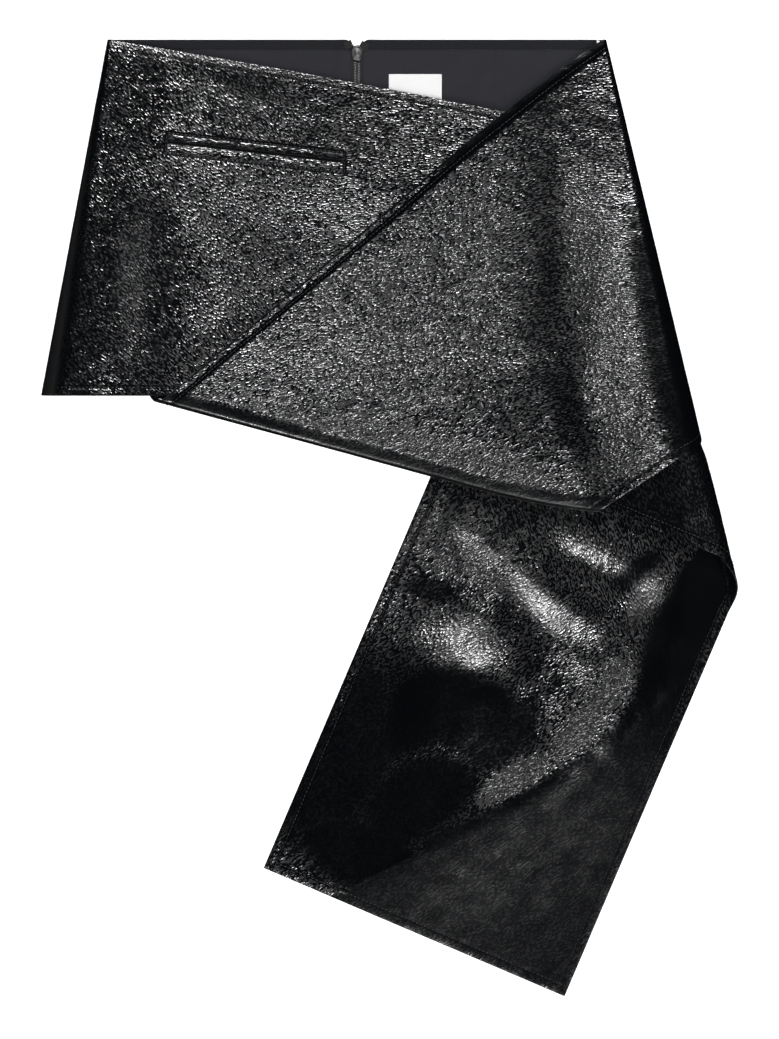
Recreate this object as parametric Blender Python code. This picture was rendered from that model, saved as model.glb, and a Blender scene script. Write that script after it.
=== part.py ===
"""Black vinyl mini skirt with a scarf wrap, laid flat on its back.

The hollow A-line body lies with its back panels down and its front up. The waist is at +Y, the
scarf's tail reaches to -Y, and the surface that the skirt lies on is z = 0. Sizes are in
millimetres and become metres where the meshes are made. "fall" is the distance below the waist.
"""
import math

import bmesh
import bpy
from mathutils import Vector

MM = 0.001
GAP = 0.3                    # between two pieces at a seam
CLEAR = 0.8                  # between two curved walls that lie on each other

# body
WAIST_Y = 372.8
BODY_LENGTH = 277.3
HEM_Y = WAIST_Y - BODY_LENGTH
CENTRE_X = -25.0             # centre back seam
HALF_WAIST = 194.5
SIDE_FLARE = 0.1843          # how far each side moves out per mm of fall
VINYL = 1.2
SEAM_LIP = 4.0               # front's turn under each side, up to the side seam
LOOSE_LIP = 0.6              # straight end of the wrap's roll, below the side seam
LEFT_ROLL = (3.0, 20.0)      # radius of the soft fold at the side, at waist and hem
RIGHT_ROLL = (3.0, 12.0)
UNDER_WRAP = 0.6             # how far the right side stays inside the left one's mirror image
FRONT_SAG = 12.0             # how much lower the front lies at mid hem than at its sides

# slanting top edge of the front
EDGE_START_X = -219.2
EDGE_SLOPE = 0.163
EDGE_CURVE = 6.4e-5

# inside of the back
FACING = 1.0
FACING_DEPTH = 80.0
FACING_STEP = (1.0, 7.0)     # start past the zip's tape and length of the facing's slope
FACING_SEAMS = (-134.2, 83.5)
LABEL = {"left": 0.0, "right": 41.0, "top": 345.9, "height": 27.0, "thick": 1.0}

# centre back zip
ZIP_LENGTH = 180.0
TAPE = 1.0
TAPE_WIDTH = 10.0
COIL_WIDTH = 2.5
COIL_HEIGHT = 1.5
TAPE_INSET = 1.0             # from the back's top edge to the tape's
COIL_STOP = 2.0              # from the coil's lower end to the tape's
ZIP_OPENING = 4.9            # from the centre to the facing's edge
COIL_PROFILE = [
    # share of the width, share of the height
    (0.00, 0.55),
    (0.25, 1.00),
    (0.75, 1.00),
    (1.00, 0.55),
]
NOTCH_DEPTH = 5.4
NOTCH_HALF_WIDTH = 9.0
SLIDER = {"top": 368.6, "length": 12.4, "width": 9.0, "height": 2.8}
SLIDER_OUTLINE = [
    # share of the length from the top, half width / width, height / full height
    (0.00, 0.18, 0.45),
    (0.12, 0.36, 0.80),
    (0.38, 0.50, 1.00),
    (0.62, 0.45, 0.90),
    (1.00, 0.31, 0.65),
]
SLIDER_CROWN = [
    # share of the half width, share of the height
    (-1.00, 0.45),
    (-0.55, 0.85),
    (0.00, 1.00),
    (0.55, 0.85),
    (1.00, 0.45),
]

# double welt pocket
POCKET = {"left_x": -172.0, "top_y": 297.4, "slope": 0.11, "height": 13.0,
          "upper": 4.6, "slit": 2.4, "recess": 0.35, "inset": 0.35}
POCKET_STATIONS = (0.133, 0.471)  # its two ends, as shares of the front's width
ROWS_ABOVE_POCKET = 3
BAG = {"margin": 7.0, "depth": 60.0, "thick": 1.0, "gap": 0.4}

# scarf wrap over the front
FOLD_RADIUS = 4.0
FOLD_TURN = 45.0             # how far the bottom fold is turned under
FOLD_TURN_ROWS = (1.0, 0.6, 0.3)
FOLD_START = (-175.6, 88.6)  # left end of the bottom fold's outline
FOLD_WIDTH = 343.4           # from there to the right, along X
FOLD_SLOPE = 0.2715
FOLD_EASE = (254.0, 0.00113)  # past this width the outline levels off
TURN_ANGLE = 110.5           # heading of the cloth that is turned under
TURN_SHIFT = 12.0            # how far the cloth moves along the fold as it turns
WRAP_END_FALL = 323.0        # of the wrap's lower edge, where its side roll starts
WRAP_CLIMB = 11.5            # rise of that edge over the first quarter turn of the roll
WRAP_DROOP = 10.0            # fall of the wrap's height per 86 mm past the front's hem
DROOP_REACH = 86.0
SIDE_BLEND = (90.0, 10.0)    # where the wrap's top rises to its side roll
EDGE_BOW = [                 # bow of the wrap's upper edge
    # along, bow
    (0.00, 0.0),
    (0.15, 1.0),
    (0.30, 1.4),
    (0.50, 3.2),
    (0.68, 5.0),
    (0.80, 4.4),
    (0.90, 3.2),
    (1.00, 0.0),
]
EDGE_DIRECTION = 39.0        # heading of the wrap's edges
WRAP_SIDE = [                # wrap's fold round the right side
    # fall, side_x, radius, end_angle
    (0.0, 169.4, 3.0, -90.0),
    (58.0, 183.2, 5.8, -90.0),
    (72.0, 186.5, 6.4, -55.0),
    (225.0, 222.9, 13.7, -45.0),
    (265.0, 232.4, 15.6, -20.0),
    (281.0, 236.3, 16.0, -12.0),
    (311.5, 243.4, 16.0, -8.0),
    (365.0, 256.0, 16.0, -8.0),
]

# scarf tail, its roll at the right side and the flap that folds back over it
TAIL_CORNER = (-97.5, -272.8)
TAIL_WIDTH = 254.7
TAIL_LEAN = 23.1             # from the Y axis
TAIL_END_Y = 104.0           # plain end under the back panels
FOLD_FROM = 0.60             # share of the width past which the tail folds over
ROLL_CLIMB = 44.0            # how far the cloth moves up the roll as it turns over
FLAP_ANGLE = 157.4
FLAP_HIDDEN = 35.0           # how far the flap runs on under the wrap
FLAP_LEAST = 12.0            # shortest run of the flap
FLAP_HEIGHT = (9.5, 28.0)    # flap's top at each end of the wrap's lower edge
FLAP_EASE = 45.0
HALVINGS = 40                # in the search for where the tail's roll starts
TAIL_STEPS = {"under": 18, "roll": 8, "flap": 6}  # cells along each stretch of the tail
WRAP_CORNER = (167.7, 9.0)   # lower edge of the wrap, from the fold to the side
WRAP_TIP = (243.4, 61.4)
TAIL_ROLL = [
    # fall, side_x, radius
    (230.0, 218.8, 12.4),
    (276.9, 231.7, 14.0),
    (312.0, 241.6, 13.4),
    (325.0, 246.4, 12.6),
    (347.1, 252.6, 11.6),
    (374.4, 259.4, 10.2),
    (402.5, 266.0, 9.0),
    (424.3, 271.4, 9.2),
    (446.2, 273.8, 9.4),
    (470.0, 275.5, 9.4),
]
TAIL_SWELLS = [              # soft rises of the tail off the surface
    # x, y, height, half_length, half_width, angle
    (125.0, -48.0, 7.0, 82.0, 62.0, 150.0),
    (60.0, -120.0, 4.0, 80.0, 45.0, 35.0),
    (150.0, -150.0, 3.5, 95.0, 34.0, 55.0),
]
TAIL_REST = (1.7, 8.0, 50.0, 139.0, 30.0)  # lift of the back over the tail: height, x, run, y, run

COLOURS = {
    # name: (colour, roughness, metallic)
    "vinyl": ((0.012, 0.012, 0.014), 0.22, 0.0),
    "cotton": ((0.030, 0.032, 0.038), 0.85, 0.0),
    "label": ((0.85, 0.85, 0.84), 0.7, 0.0),
    "zip": ((0.06, 0.06, 0.06), 0.5, 0.0),
    "gunmetal": ((0.14, 0.14, 0.14), 0.35, 0.9),
}


def clear_scene():
    for obj in list(bpy.data.objects):
        bpy.data.objects.remove(obj, do_unlink=True)


def lerp(a, b, t):
    return a + (b - a) * t


def smooth(t):
    t = min(1.0, max(0.0, t))
    return t * t * (3.0 - 2.0 * t)


def along(table, key, column):
    """Value of a table's column at key, on a smooth curve through the rows."""
    last = len(table) - 2
    i = 0
    while i < last and table[i + 1][0] < key:
        i += 1
    row, after = table[i], table[i + 1]
    span = after[0] - row[0]
    before = table[i - 1] if i > 0 else row
    beyond = table[i + 2] if i < last else after
    slope_a = (after[column] - before[column]) / (after[0] - before[0])
    slope_b = (beyond[column] - row[column]) / (beyond[0] - row[0])
    t = min(1.0, max(0.0, (key - row[0]) / span))
    h = t * t * (3.0 - 2.0 * t)
    bend_a = t * (1.0 - t) ** 2 * span * slope_a
    bend_b = t * t * (t - 1.0) * span * slope_b
    return lerp(row[column], after[column], h) + bend_a + bend_b


def heading(degrees):
    a = math.radians(degrees)
    return Vector((math.cos(a), math.sin(a)))


# --- the body's form -------------------------------------------------------------------------

def fall_share(y):
    return min(1.0, max(0.0, (WAIST_Y - y) / BODY_LENGTH))


def left_side(y):
    """Outline x and fold radius of the left side at y."""
    return (CENTRE_X - HALF_WAIST - SIDE_FLARE * (WAIST_Y - y), lerp(*LEFT_ROLL, fall_share(y)))


def right_side(y):
    """The front's own right side, under the wrap."""
    return (CENTRE_X + HALF_WAIST - UNDER_WRAP + SIDE_FLARE * (WAIST_Y - y),
            lerp(*RIGHT_ROLL, fall_share(y)))


def lift(x, y):
    """Height of the back's underside, which rises only over the end of the tail."""
    height, start_x, run_x, start_y, run_y = TAIL_REST
    return height * smooth((x - start_x) / run_x) * smooth((start_y - y) / run_y)


def front_top(x, y):
    """Height of the front's outer face between its two side rolls."""
    side_l, roll_l = left_side(y)
    side_r, roll_r = right_side(y)
    start, end = side_l + roll_l, side_r - roll_r
    t = min(1.0, max(0.0, (x - start) / (end - start)))
    high_l, high_r = 2.0 * roll_l, 2.0 * roll_r + lift(end, y)
    sag = FRONT_SAG * fall_share(y) * math.sin(math.pi * t) ** 2
    return lerp(high_l, high_r, smooth(t)) - sag


def front_edge_y(x):
    """The front's slanting top edge."""
    run = max(0.0, x - EDGE_START_X)
    return WAIST_Y - EDGE_SLOPE * run - EDGE_CURVE * run * run


def waist_y(x):
    """The back's top edge, dipping at the zip."""
    return WAIST_Y - NOTCH_DEPTH * (1.0 - smooth(abs(x - CENTRE_X) / NOTCH_HALF_WIDTH))


def back_edge_left(y):
    side, roll = left_side(y)
    return side + roll + SEAM_LIP + GAP


def back_edge_right(y):
    side, roll = right_side(y)
    return side - roll - SEAM_LIP - GAP


# --- the scarf's form ------------------------------------------------------------------------

def wrap_side(y):
    """Outline x, roll radius and last angle of the wrap at the right side."""
    fall = WAIST_Y - y
    return tuple(along(WRAP_SIDE, fall, column) for column in (1, 2, 3))


def wrap_top(x, y):
    """Height of the wrap's outer face."""
    past_hem = max(0.0, HEM_Y - y)
    over_front = front_top(x, max(y, HEM_Y)) + CLEAR + VINYL
    over_front -= WRAP_DROOP * (past_hem / DROOP_REACH) ** 1.5
    side, roll, _ = wrap_side(y)
    reach, level = SIDE_BLEND
    near_side = smooth((x - (side - roll - reach)) / (reach - level))
    return lerp(over_front, 2.0 * roll, near_side)


def fold_line(q):
    """Point of the bottom fold's outline, from its left end to the wrap's corner."""
    run = FOLD_WIDTH * q
    ease_from, ease = FOLD_EASE
    drop = FOLD_SLOPE * run - ease * max(0.0, run - ease_from) ** 2
    return Vector((FOLD_START[0] + run, FOLD_START[1] - drop))


def tail_height(x, y):
    """Height of the tail's underside."""
    total = 0.0
    for cx, cy, height, half_length, half_width, angle in TAIL_SWELLS:
        axis = heading(angle)
        dx, dy = x - cx, y - cy
        a = (dx * axis.x + dy * axis.y) / half_length
        b = (dy * axis.x - dx * axis.y) / half_width
        total += height * max(0.0, 1.0 - a * a - b * b) ** 2
    return total


def tail_roll(y):
    """Outline x and radius of the tail's roll at the right side."""
    fall = WAIST_Y - y
    return along(TAIL_ROLL, fall, 1), along(TAIL_ROLL, fall, 2)


def tail_point(a, b):
    """Plan point at share a of the tail's width and b mm up from its bottom edge."""
    up = heading(90.0 - TAIL_LEAN)
    across = Vector((up.y, -up.x))
    return Vector(TAIL_CORNER) + across * (a * TAIL_WIDTH) + up * b


def tail_reach(a):
    """Length of the tail at share a, to its roll or to its plain end."""
    up = heading(90.0 - TAIL_LEAN)
    low, high = 0.0, (TAIL_END_Y - tail_point(a, 0.0).y) / up.y
    if a < FOLD_FROM:
        return high
    for _ in range(HALVINGS):
        mid = 0.5 * (low + high)
        point = tail_point(a, mid)
        side, roll = tail_roll(point.y)
        if point.x < side - roll:
            low = mid
        else:
            high = mid
    return low


def flap_top(x, y, run, roll_top):
    """Height of the flap's upper face, run mm past the top of its roll."""
    start, end = Vector(WRAP_CORNER), Vector(WRAP_TIP)
    edge = end - start
    share = (Vector((x, y)) - start).dot(edge) / edge.length_squared
    level = lerp(*FLAP_HEIGHT, share)
    return lerp(roll_top, level, smooth(run / FLAP_EASE))


# --- meshes ----------------------------------------------------------------------------------

def material(name):
    mat = bpy.data.materials.get(name)
    if mat:
        return mat
    colour, roughness, metallic = COLOURS[name]
    mat = bpy.data.materials.new(name)
    mat.use_nodes = True
    shader = mat.node_tree.nodes["Principled BSDF"]
    shader.inputs["Base Color"].default_value = (*colour, 1.0)
    shader.inputs["Roughness"].default_value = roughness
    shader.inputs["Metallic"].default_value = metallic
    mat.diffuse_color = (*colour, 1.0)
    return mat


def make_object(name, bm, finish):
    bmesh.ops.recalc_face_normals(bm, faces=bm.faces)
    mesh = bpy.data.meshes.new(name)
    bm.to_mesh(mesh)
    bm.free()
    mesh.materials.append(material(finish))
    mesh.shade_smooth()
    mesh.set_sharp_from_angle(angle=math.radians(40.0))
    obj = bpy.data.objects.new(name, mesh)
    bpy.context.scene.collection.objects.link(obj)
    return obj


def beside(grid, i, j, step_i, step_j):
    """Grid point one step away, or the point itself at the grid's edge."""
    row, col = i + step_i, j + step_j
    inside = 0 <= row < len(grid) and 0 <= col < len(grid[0])
    return grid[row][col] if inside and grid[row][col] is not None else grid[i][j]


def offset_grid(grid, thickness):
    """The same grid moved off its own surface, to the side that its winding gives."""
    result = [[None] * len(line) for line in grid]
    for i, line in enumerate(grid):
        for j, point in enumerate(line):
            if point is None:
                continue
            along_i = beside(grid, i, j, 1, 0) - beside(grid, i, j, -1, 0)
            along_j = beside(grid, i, j, 0, 1) - beside(grid, i, j, 0, -1)
            result[i][j] = point + along_i.cross(along_j).normalized() * thickness
    return result


def wall(name, finish, face, thickness=None, back=None, skip=()):
    """Closed wall between a grid of points and its offset; cells in skip are left open."""
    back = back or offset_grid(face, thickness)
    bm = bmesh.new()
    verts = {}

    def vert(layer, i, j):
        key = (layer, i, j)
        if key not in verts:
            verts[key] = bm.verts.new((face, back)[layer][i][j] * MM)
        return verts[key]

    cells = {(i, j) for i in range(len(face) - 1) for j in range(len(face[0]) - 1)} - set(skip)
    for i, j in sorted(cells):
        ring = ((i, j), (i + 1, j), (i + 1, j + 1), (i, j + 1))
        bm.faces.new([vert(0, *corner) for corner in ring])
        bm.faces.new([vert(1, *corner) for corner in reversed(ring)])
        neighbours = ((i, j - 1), (i + 1, j), (i, j + 1), (i - 1, j))
        for k, cell in enumerate(neighbours):
            if cell not in cells:
                a, b = ring[k], ring[(k + 1) % 4]
                bm.faces.new((vert(0, *b), vert(0, *a), vert(1, *a), vert(1, *b)))
    return make_object(name, bm, finish)


def plate(name, finish, xs, ys, bottom, thickness):
    """Wall over plan lines xs(j, y) and ys(i, x), its underside at bottom(x, y)."""
    def grid(raise_by):
        result = []
        for i in range(ys.count):
            line = []
            for j in range(xs.count):
                x, y = plan_point(xs, ys, i, j)
                line.append(Vector((x, y, bottom(x, y) + raise_by)))
            result.append(line)
        return result
    return wall(name, finish, grid(0.0), back=grid(thickness))


class Lines:
    """A family of plan lines, each at a share between two edges that may depend on x or y."""

    def __init__(self, start, end, shares):
        self.start, self.end, self.shares = start, end, shares
        self.count = len(shares)

    def at(self, k, other):
        return lerp(self.start(other), self.end(other), self.shares[k])


def plan_point(xs, ys, i, j):
    """Crossing of line i of ys with line j of xs."""
    y = ys.at(i, 0.0)
    x = xs.at(j, y)
    for _ in range(4):
        y = ys.at(i, x)
        x = xs.at(j, y)
    return x, y


def shares(count):
    return [k / count for k in range(count + 1)]


# --- front and pocket ------------------------------------------------------------------------

def front_stations():
    """(zone, share) of each line that runs down the front, from the left seam to the right."""
    first, last = POCKET_STATIONS
    top = [first * t for t in (0.33, 0.67, 1.0)]
    top += [lerp(first, last, t) for t in shares(5)[1:]]
    top += [lerp(last, 1.0, t) for t in shares(8)[1:]]
    stations = [("left_lip", 0.0)] + [("left_roll", t) for t in shares(8)]
    stations += [("top", t) for t in top]
    stations += [("right_roll", t) for t in shares(6)[1:]] + [("right_lip", 1.0)]
    return stations


def front_point(zone, t, y):
    side_l, roll_l = left_side(y)
    side_r, roll_r = right_side(y)
    mid_l, mid_r = side_l + roll_l, side_r - roll_r
    if zone == "left_lip":
        return Vector((mid_l + SEAM_LIP, y, 0.0))
    if zone == "left_roll":
        a = math.pi * t
        return Vector((mid_l - roll_l * math.sin(a), y, roll_l - roll_l * math.cos(a)))
    if zone == "top":
        x = lerp(mid_l, mid_r, t)
        return Vector((x, y, front_top(x, y)))
    base = lift(mid_r, y)
    if zone == "right_roll":
        a = math.pi * (1.0 - t)
        return Vector((mid_r + roll_r * math.sin(a), y, base + roll_r - roll_r * math.cos(a)))
    return Vector((mid_r - SEAM_LIP, y, base))


def pocket_line(x, below):
    return POCKET["top_y"] - POCKET["slope"] * (x - POCKET["left_x"]) - below


def front_rows(zone, t):
    """Y of each row of the front at a station: edge, pocket window, hem."""
    if zone.startswith("left"):
        top = WAIST_Y
        x = left_side(top)[0]
    else:
        top = WAIST_Y
        for _ in range(6):
            x = front_point(zone, t, top).x
            top = front_edge_y(x)
    window_top = window_bottom = top
    for _ in range(4):
        window_top = pocket_line(front_point(zone, t, window_top).x, 0.0)
        window_bottom = pocket_line(front_point(zone, t, window_bottom).x, POCKET["height"])
    rows = [lerp(top, window_top, t) for t in shares(ROWS_ABOVE_POCKET)]
    rows += [lerp(window_bottom, HEM_Y, t) for t in shares(8)]
    return rows


def make_front():
    stations = front_stations()
    columns = [[front_point(zone, t, y) for y in front_rows(zone, t)] for zone, t in stations]
    window = [(j, ROWS_ABOVE_POCKET) for j, (zone, t) in enumerate(stations)
              if zone == "top" and POCKET_STATIONS[0] - 1e-6 < t < POCKET_STATIONS[1] - 1e-6]
    wall("skirt_front", "vinyl", columns, VINYL, skip=window)


def pocket_x(t, y):
    side_l, roll_l = left_side(y)
    side_r, roll_r = right_side(y)
    return lerp(side_l + roll_l, side_r - roll_r, t)


def make_pocket():
    first, last = POCKET_STATIONS
    inset = POCKET["inset"]
    xs = Lines(lambda y: pocket_x(first, y) + inset, lambda y: pocket_x(last, y) - inset,
               shares(10))
    lower = POCKET["height"] - POCKET["upper"] - POCKET["slit"]
    welts = [
        # name, top, bottom: distances below the window's top edge
        ("pocket_welt_upper", GAP, POCKET["upper"]),
        ("pocket_welt_lower", POCKET["height"] - lower, POCKET["height"] - GAP),
    ]
    for name, top, bottom in welts:
        ys = Lines(lambda x, d=top: pocket_line(x, d), lambda x, d=bottom: pocket_line(x, d),
                   shares(2))
        plate(name, "vinyl", xs, ys,
              lambda x, y: front_top(x, y) - POCKET["recess"] - VINYL, VINYL)
    margin = BAG["margin"]
    xs = Lines(lambda y: pocket_x(first, y) - margin, lambda y: pocket_x(last, y) + margin,
               shares(10))
    ys = Lines(lambda x: pocket_line(x, -margin), lambda x: pocket_line(x, BAG["depth"]),
               shares(5))
    under = POCKET["recess"] + VINYL + BAG["gap"] + BAG["thick"]
    plate("pocket_bag", "cotton", xs, ys, lambda x, y: front_top(x, y) - under, BAG["thick"])


# --- back, facings, label and zip ------------------------------------------------------------

def make_back():
    half_gap = 0.5 * GAP
    rows = [0.0, 0.03, 0.3, 0.6, 0.82, 0.88, 0.94, 1.0]
    ys = Lines(waist_y, lambda x: HEM_Y, rows)
    left = Lines(back_edge_left, lambda y: CENTRE_X - half_gap, [0.0, 0.5, 0.93, 0.97, 0.985, 1.0])
    right = Lines(lambda y: CENTRE_X + half_gap, back_edge_right,
                  [0.0, 0.015, 0.03, 0.07, 0.18, 0.25, 0.32, 0.4, 0.7, 1.0])
    plate("skirt_back_left", "vinyl", left, ys, lift, VINYL)
    plate("skirt_back_right", "vinyl", right, ys, lift, VINYL)


def facing_base(x, y):
    """Underside of the facings, which step over the zip's tapes."""
    off_centre = abs(x - CENTRE_X)
    start, length = FACING_STEP
    over_tape = 1.0 - smooth((off_centre - TAPE_WIDTH - start) / length)
    return VINYL + GAP + (TAPE + GAP) * over_tape


def make_facings():
    half_gap = 0.5 * GAP
    seam_l, seam_r = FACING_SEAMS
    bottom_y = WAIST_Y - FACING_DEPTH
    pieces = [
        # name, left edge, right edge, shares across
        ("facing_side_left", back_edge_left, lambda y: seam_l - half_gap, [0.0, 0.5, 1.0]),
        ("facing_left", lambda y: seam_l + half_gap, lambda y: CENTRE_X - ZIP_OPENING,
         [0.0, 0.4, 0.80, 0.865, 0.93, 0.965, 1.0]),
        ("facing_right", lambda y: CENTRE_X + ZIP_OPENING, lambda y: seam_r - half_gap,
         [0.0, 0.035, 0.07, 0.135, 0.20, 0.6, 1.0]),
        ("facing_side_right", lambda y: seam_r + half_gap, back_edge_right, [0.0, 0.5, 1.0]),
    ]
    ys = Lines(waist_y, lambda x: bottom_y, [0.0, 0.05, 0.5, 1.0])
    for name, start, end, across in pieces:
        plate(name, "cotton", Lines(start, end, across), ys, facing_base, FACING)


def make_label():
    xs = Lines(lambda y: LABEL["left"], lambda y: LABEL["right"], shares(2))
    ys = Lines(lambda x: LABEL["top"], lambda x: LABEL["top"] - LABEL["height"], shares(2))
    plate("label_blank", "label", xs, ys,
          lambda x, y: facing_base(x, y) + FACING + GAP, LABEL["thick"])


def make_zip():
    half_gap = 0.5 * GAP
    end_y = WAIST_Y - ZIP_LENGTH
    tape_z = VINYL + GAP
    coil_z = tape_z + TAPE + GAP
    coil_top = SLIDER["top"] - SLIDER["length"] - GAP
    for side, sign in (("left", -1.0), ("right", 1.0)):
        near, far = CENTRE_X + sign * half_gap, CENTRE_X + sign * TAPE_WIDTH
        ys = Lines(lambda x: waist_y(x) - TAPE_INSET, lambda x: end_y, [0.0, 0.1, 1.0])
        plate("zip_tape_" + side, "zip", Lines(lambda y: near, lambda y: far, shares(3)), ys,
              lambda x, y: tape_z, TAPE)
        edge = CENTRE_X + sign * COIL_WIDTH
        ys = Lines(lambda x: coil_top, lambda x: end_y + COIL_STOP, shares(1))
        xs = Lines(lambda y: near, lambda y: edge, [across for across, _ in COIL_PROFILE])
        low = [[Vector((*plan_point(xs, ys, i, j), coil_z)) for j in range(xs.count)]
               for i in range(ys.count)]
        high = [[point + Vector((0.0, 0.0, COIL_HEIGHT * rise))
                 for point, (_, rise) in zip(line, COIL_PROFILE)] for line in low]
        wall("zip_coil_" + side, "zip", low, back=high)


def make_slider():
    """Shield-shaped slider body: wide at the shoulders, narrow at the lower end."""
    base = VINYL + GAP + TAPE + GAP
    low, high = [], []
    for share, half, dome in SLIDER_OUTLINE:
        y = SLIDER["top"] - share * SLIDER["length"]
        line = [Vector((CENTRE_X + across * half * SLIDER["width"], y, base))
                for across, _ in SLIDER_CROWN]
        low.append(line)
        high.append([point + Vector((0.0, 0.0, SLIDER["height"] * dome * crown))
                     for point, (_, crown) in zip(line, SLIDER_CROWN)])
    wall("zip_slider", "gunmetal", low, back=high)


# --- scarf -----------------------------------------------------------------------------------

def wrap_line(q):
    """Outer points of one line of the wrap, from its turned-under end to the right side."""
    outline = fold_line(q)
    step = fold_line(min(1.0, q + 0.01)) - fold_line(max(0.0, q - 0.01))
    step.normalize()
    out = Vector((step.y, -step.x))
    start = outline - out * FOLD_RADIUS
    start_z = wrap_top(start.x, start.y)
    turned = start - step * TURN_SHIFT
    points = []
    for t in FOLD_TURN_ROWS:
        plan = turned + heading(TURN_ANGLE) * (FOLD_TURN * t)
        points.append(Vector((plan.x, plan.y, wrap_top(plan.x, plan.y) - 2.0 * FOLD_RADIUS)))
    low_z = wrap_top(turned.x, turned.y) - 2.0 * FOLD_RADIUS
    for t in reversed(shares(6)):
        a = math.pi * t
        plan = start + out * (FOLD_RADIUS * math.sin(a)) - step * (TURN_SHIFT * t)
        z = lerp(start_z, low_z + 2.0 * FOLD_RADIUS, t) - FOLD_RADIUS * (1.0 - math.cos(a))
        points.append(Vector((plan.x, plan.y, z)))
    end_y = WAIST_Y - WRAP_END_FALL * q
    side, roll, end_angle = wrap_side(end_y)
    end = Vector((side - roll, end_y))
    bow_side = heading(EDGE_DIRECTION + 90.0)
    for t in shares(16)[1:]:
        plan = start.lerp(end, t) + bow_side * (along(EDGE_BOW, t, 1) * (1.0 - q) ** 2)
        points.append(Vector((plan.x, plan.y, wrap_top(plan.x, plan.y))))
    for t in shares(8)[1:]:
        angle = lerp(90.0, end_angle, t)
        y = end_y + WRAP_CLIMB * q * (90.0 - angle) / 90.0
        side, roll, _ = wrap_side(y)
        a = math.radians(angle)
        points.append(Vector((side - roll + roll * math.cos(a), y, roll * (1.0 + math.sin(a)))))
    lip = side - roll - back_edge_right(y) - GAP if end_angle == -90.0 else LOOSE_LIP
    points.append(points[-1] + Vector((math.sin(a), 0.0, -math.cos(a))) * lip)
    return points


def make_wrap():
    lines = [wrap_line(q) for q in (0.0, 0.03, 0.09, 0.16, 0.23, 0.3, 0.4, 0.5, 0.6, 0.7, 0.78,
                                    0.86, 0.93, 1.0)]
    wall("scarf_wrap", "vinyl", lines, -VINYL)


def tail_line(a):
    """Outer points of one line of the tail: underside, roll and flap."""
    reach = tail_reach(a)
    points = []
    for t in shares(TAIL_STEPS["under"]):
        plan = tail_point(a, reach * t)
        points.append(Vector((plan.x, plan.y, tail_height(plan.x, plan.y))))
    if a < FOLD_FROM:
        return points + [None] * (TAIL_STEPS["roll"] + TAIL_STEPS["flap"])
    low_y = tail_point(a, reach).y
    for t in shares(TAIL_STEPS["roll"])[1:]:
        y = low_y + ROLL_CLIMB * t
        side, roll = tail_roll(y)
        angle = math.pi * (t - 0.5)
        points.append(Vector((side - roll + roll * math.cos(angle), y,
                              roll * (1.0 + math.sin(angle)))))
    top = points[-1]
    edge = (Vector(WRAP_TIP) - Vector(WRAP_CORNER)).normalized()
    inward = Vector((-edge.y, edge.x))
    course = heading(FLAP_ANGLE)
    to_edge = (Vector(WRAP_CORNER) - top.xy).dot(inward)
    run_end = max(FLAP_LEAST, (to_edge + FLAP_HIDDEN) / course.dot(inward))
    for t in shares(TAIL_STEPS["flap"])[1:]:
        plan = top.xy + course * (run_end * t)
        points.append(Vector((plan.x, plan.y, flap_top(plan.x, plan.y, run_end * t, top.z))))
    return points


def make_tail():
    plain = [FOLD_FROM * t for t in shares(7)[:-1]]
    folded = [lerp(FOLD_FROM, 1.0, t) for t in shares(6)]
    lines = [tail_line(a) for a in plain + folded]
    open_cells = [(j, i) for j in range(len(plain))
                  for i in range(TAIL_STEPS["under"], len(lines[0]) - 1)]
    wall("scarf_tail", "vinyl", lines, VINYL, skip=open_cells)


def main():
    clear_scene()
    make_back()
    make_facings()
    make_label()
    make_zip()
    make_slider()
    make_front()
    make_pocket()
    make_wrap()
    make_tail()


main()
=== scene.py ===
import math

import bpy
import numpy as np
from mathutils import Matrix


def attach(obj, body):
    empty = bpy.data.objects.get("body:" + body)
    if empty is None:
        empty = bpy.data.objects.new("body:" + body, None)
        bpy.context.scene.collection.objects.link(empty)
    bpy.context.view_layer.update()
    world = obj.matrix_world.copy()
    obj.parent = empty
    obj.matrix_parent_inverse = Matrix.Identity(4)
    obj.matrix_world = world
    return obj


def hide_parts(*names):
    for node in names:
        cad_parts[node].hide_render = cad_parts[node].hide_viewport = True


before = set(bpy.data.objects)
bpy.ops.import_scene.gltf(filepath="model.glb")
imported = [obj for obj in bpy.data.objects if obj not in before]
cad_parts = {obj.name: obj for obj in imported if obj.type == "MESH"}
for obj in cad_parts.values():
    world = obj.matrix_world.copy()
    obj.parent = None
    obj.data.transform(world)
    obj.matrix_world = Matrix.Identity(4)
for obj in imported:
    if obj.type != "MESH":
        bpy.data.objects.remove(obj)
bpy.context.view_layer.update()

# Everything below is in millimetres until a mesh is made. +Y is the waist, z = 0 the floor.
mm = 0.001
seam = 0.3  # gap between two pieces at a seam
longestCell = 40.0

# The photograph's own frame, for the camera: it looks straight down from 7 m
photo = {"wide": 779, "high": 1039, "mmPerPixel": 0.78, "zeroX": 389.0, "zeroY": 518.0,
         "away": 7.0, "sensor": 36.0, "clip": 60.0}


def lerp(a, b, t):
    return a + (b - a) * t


def smooth(t):
    t = np.clip(t, 0.0, 1.0)
    return t * t * (3.0 - 2.0 * t)


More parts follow.
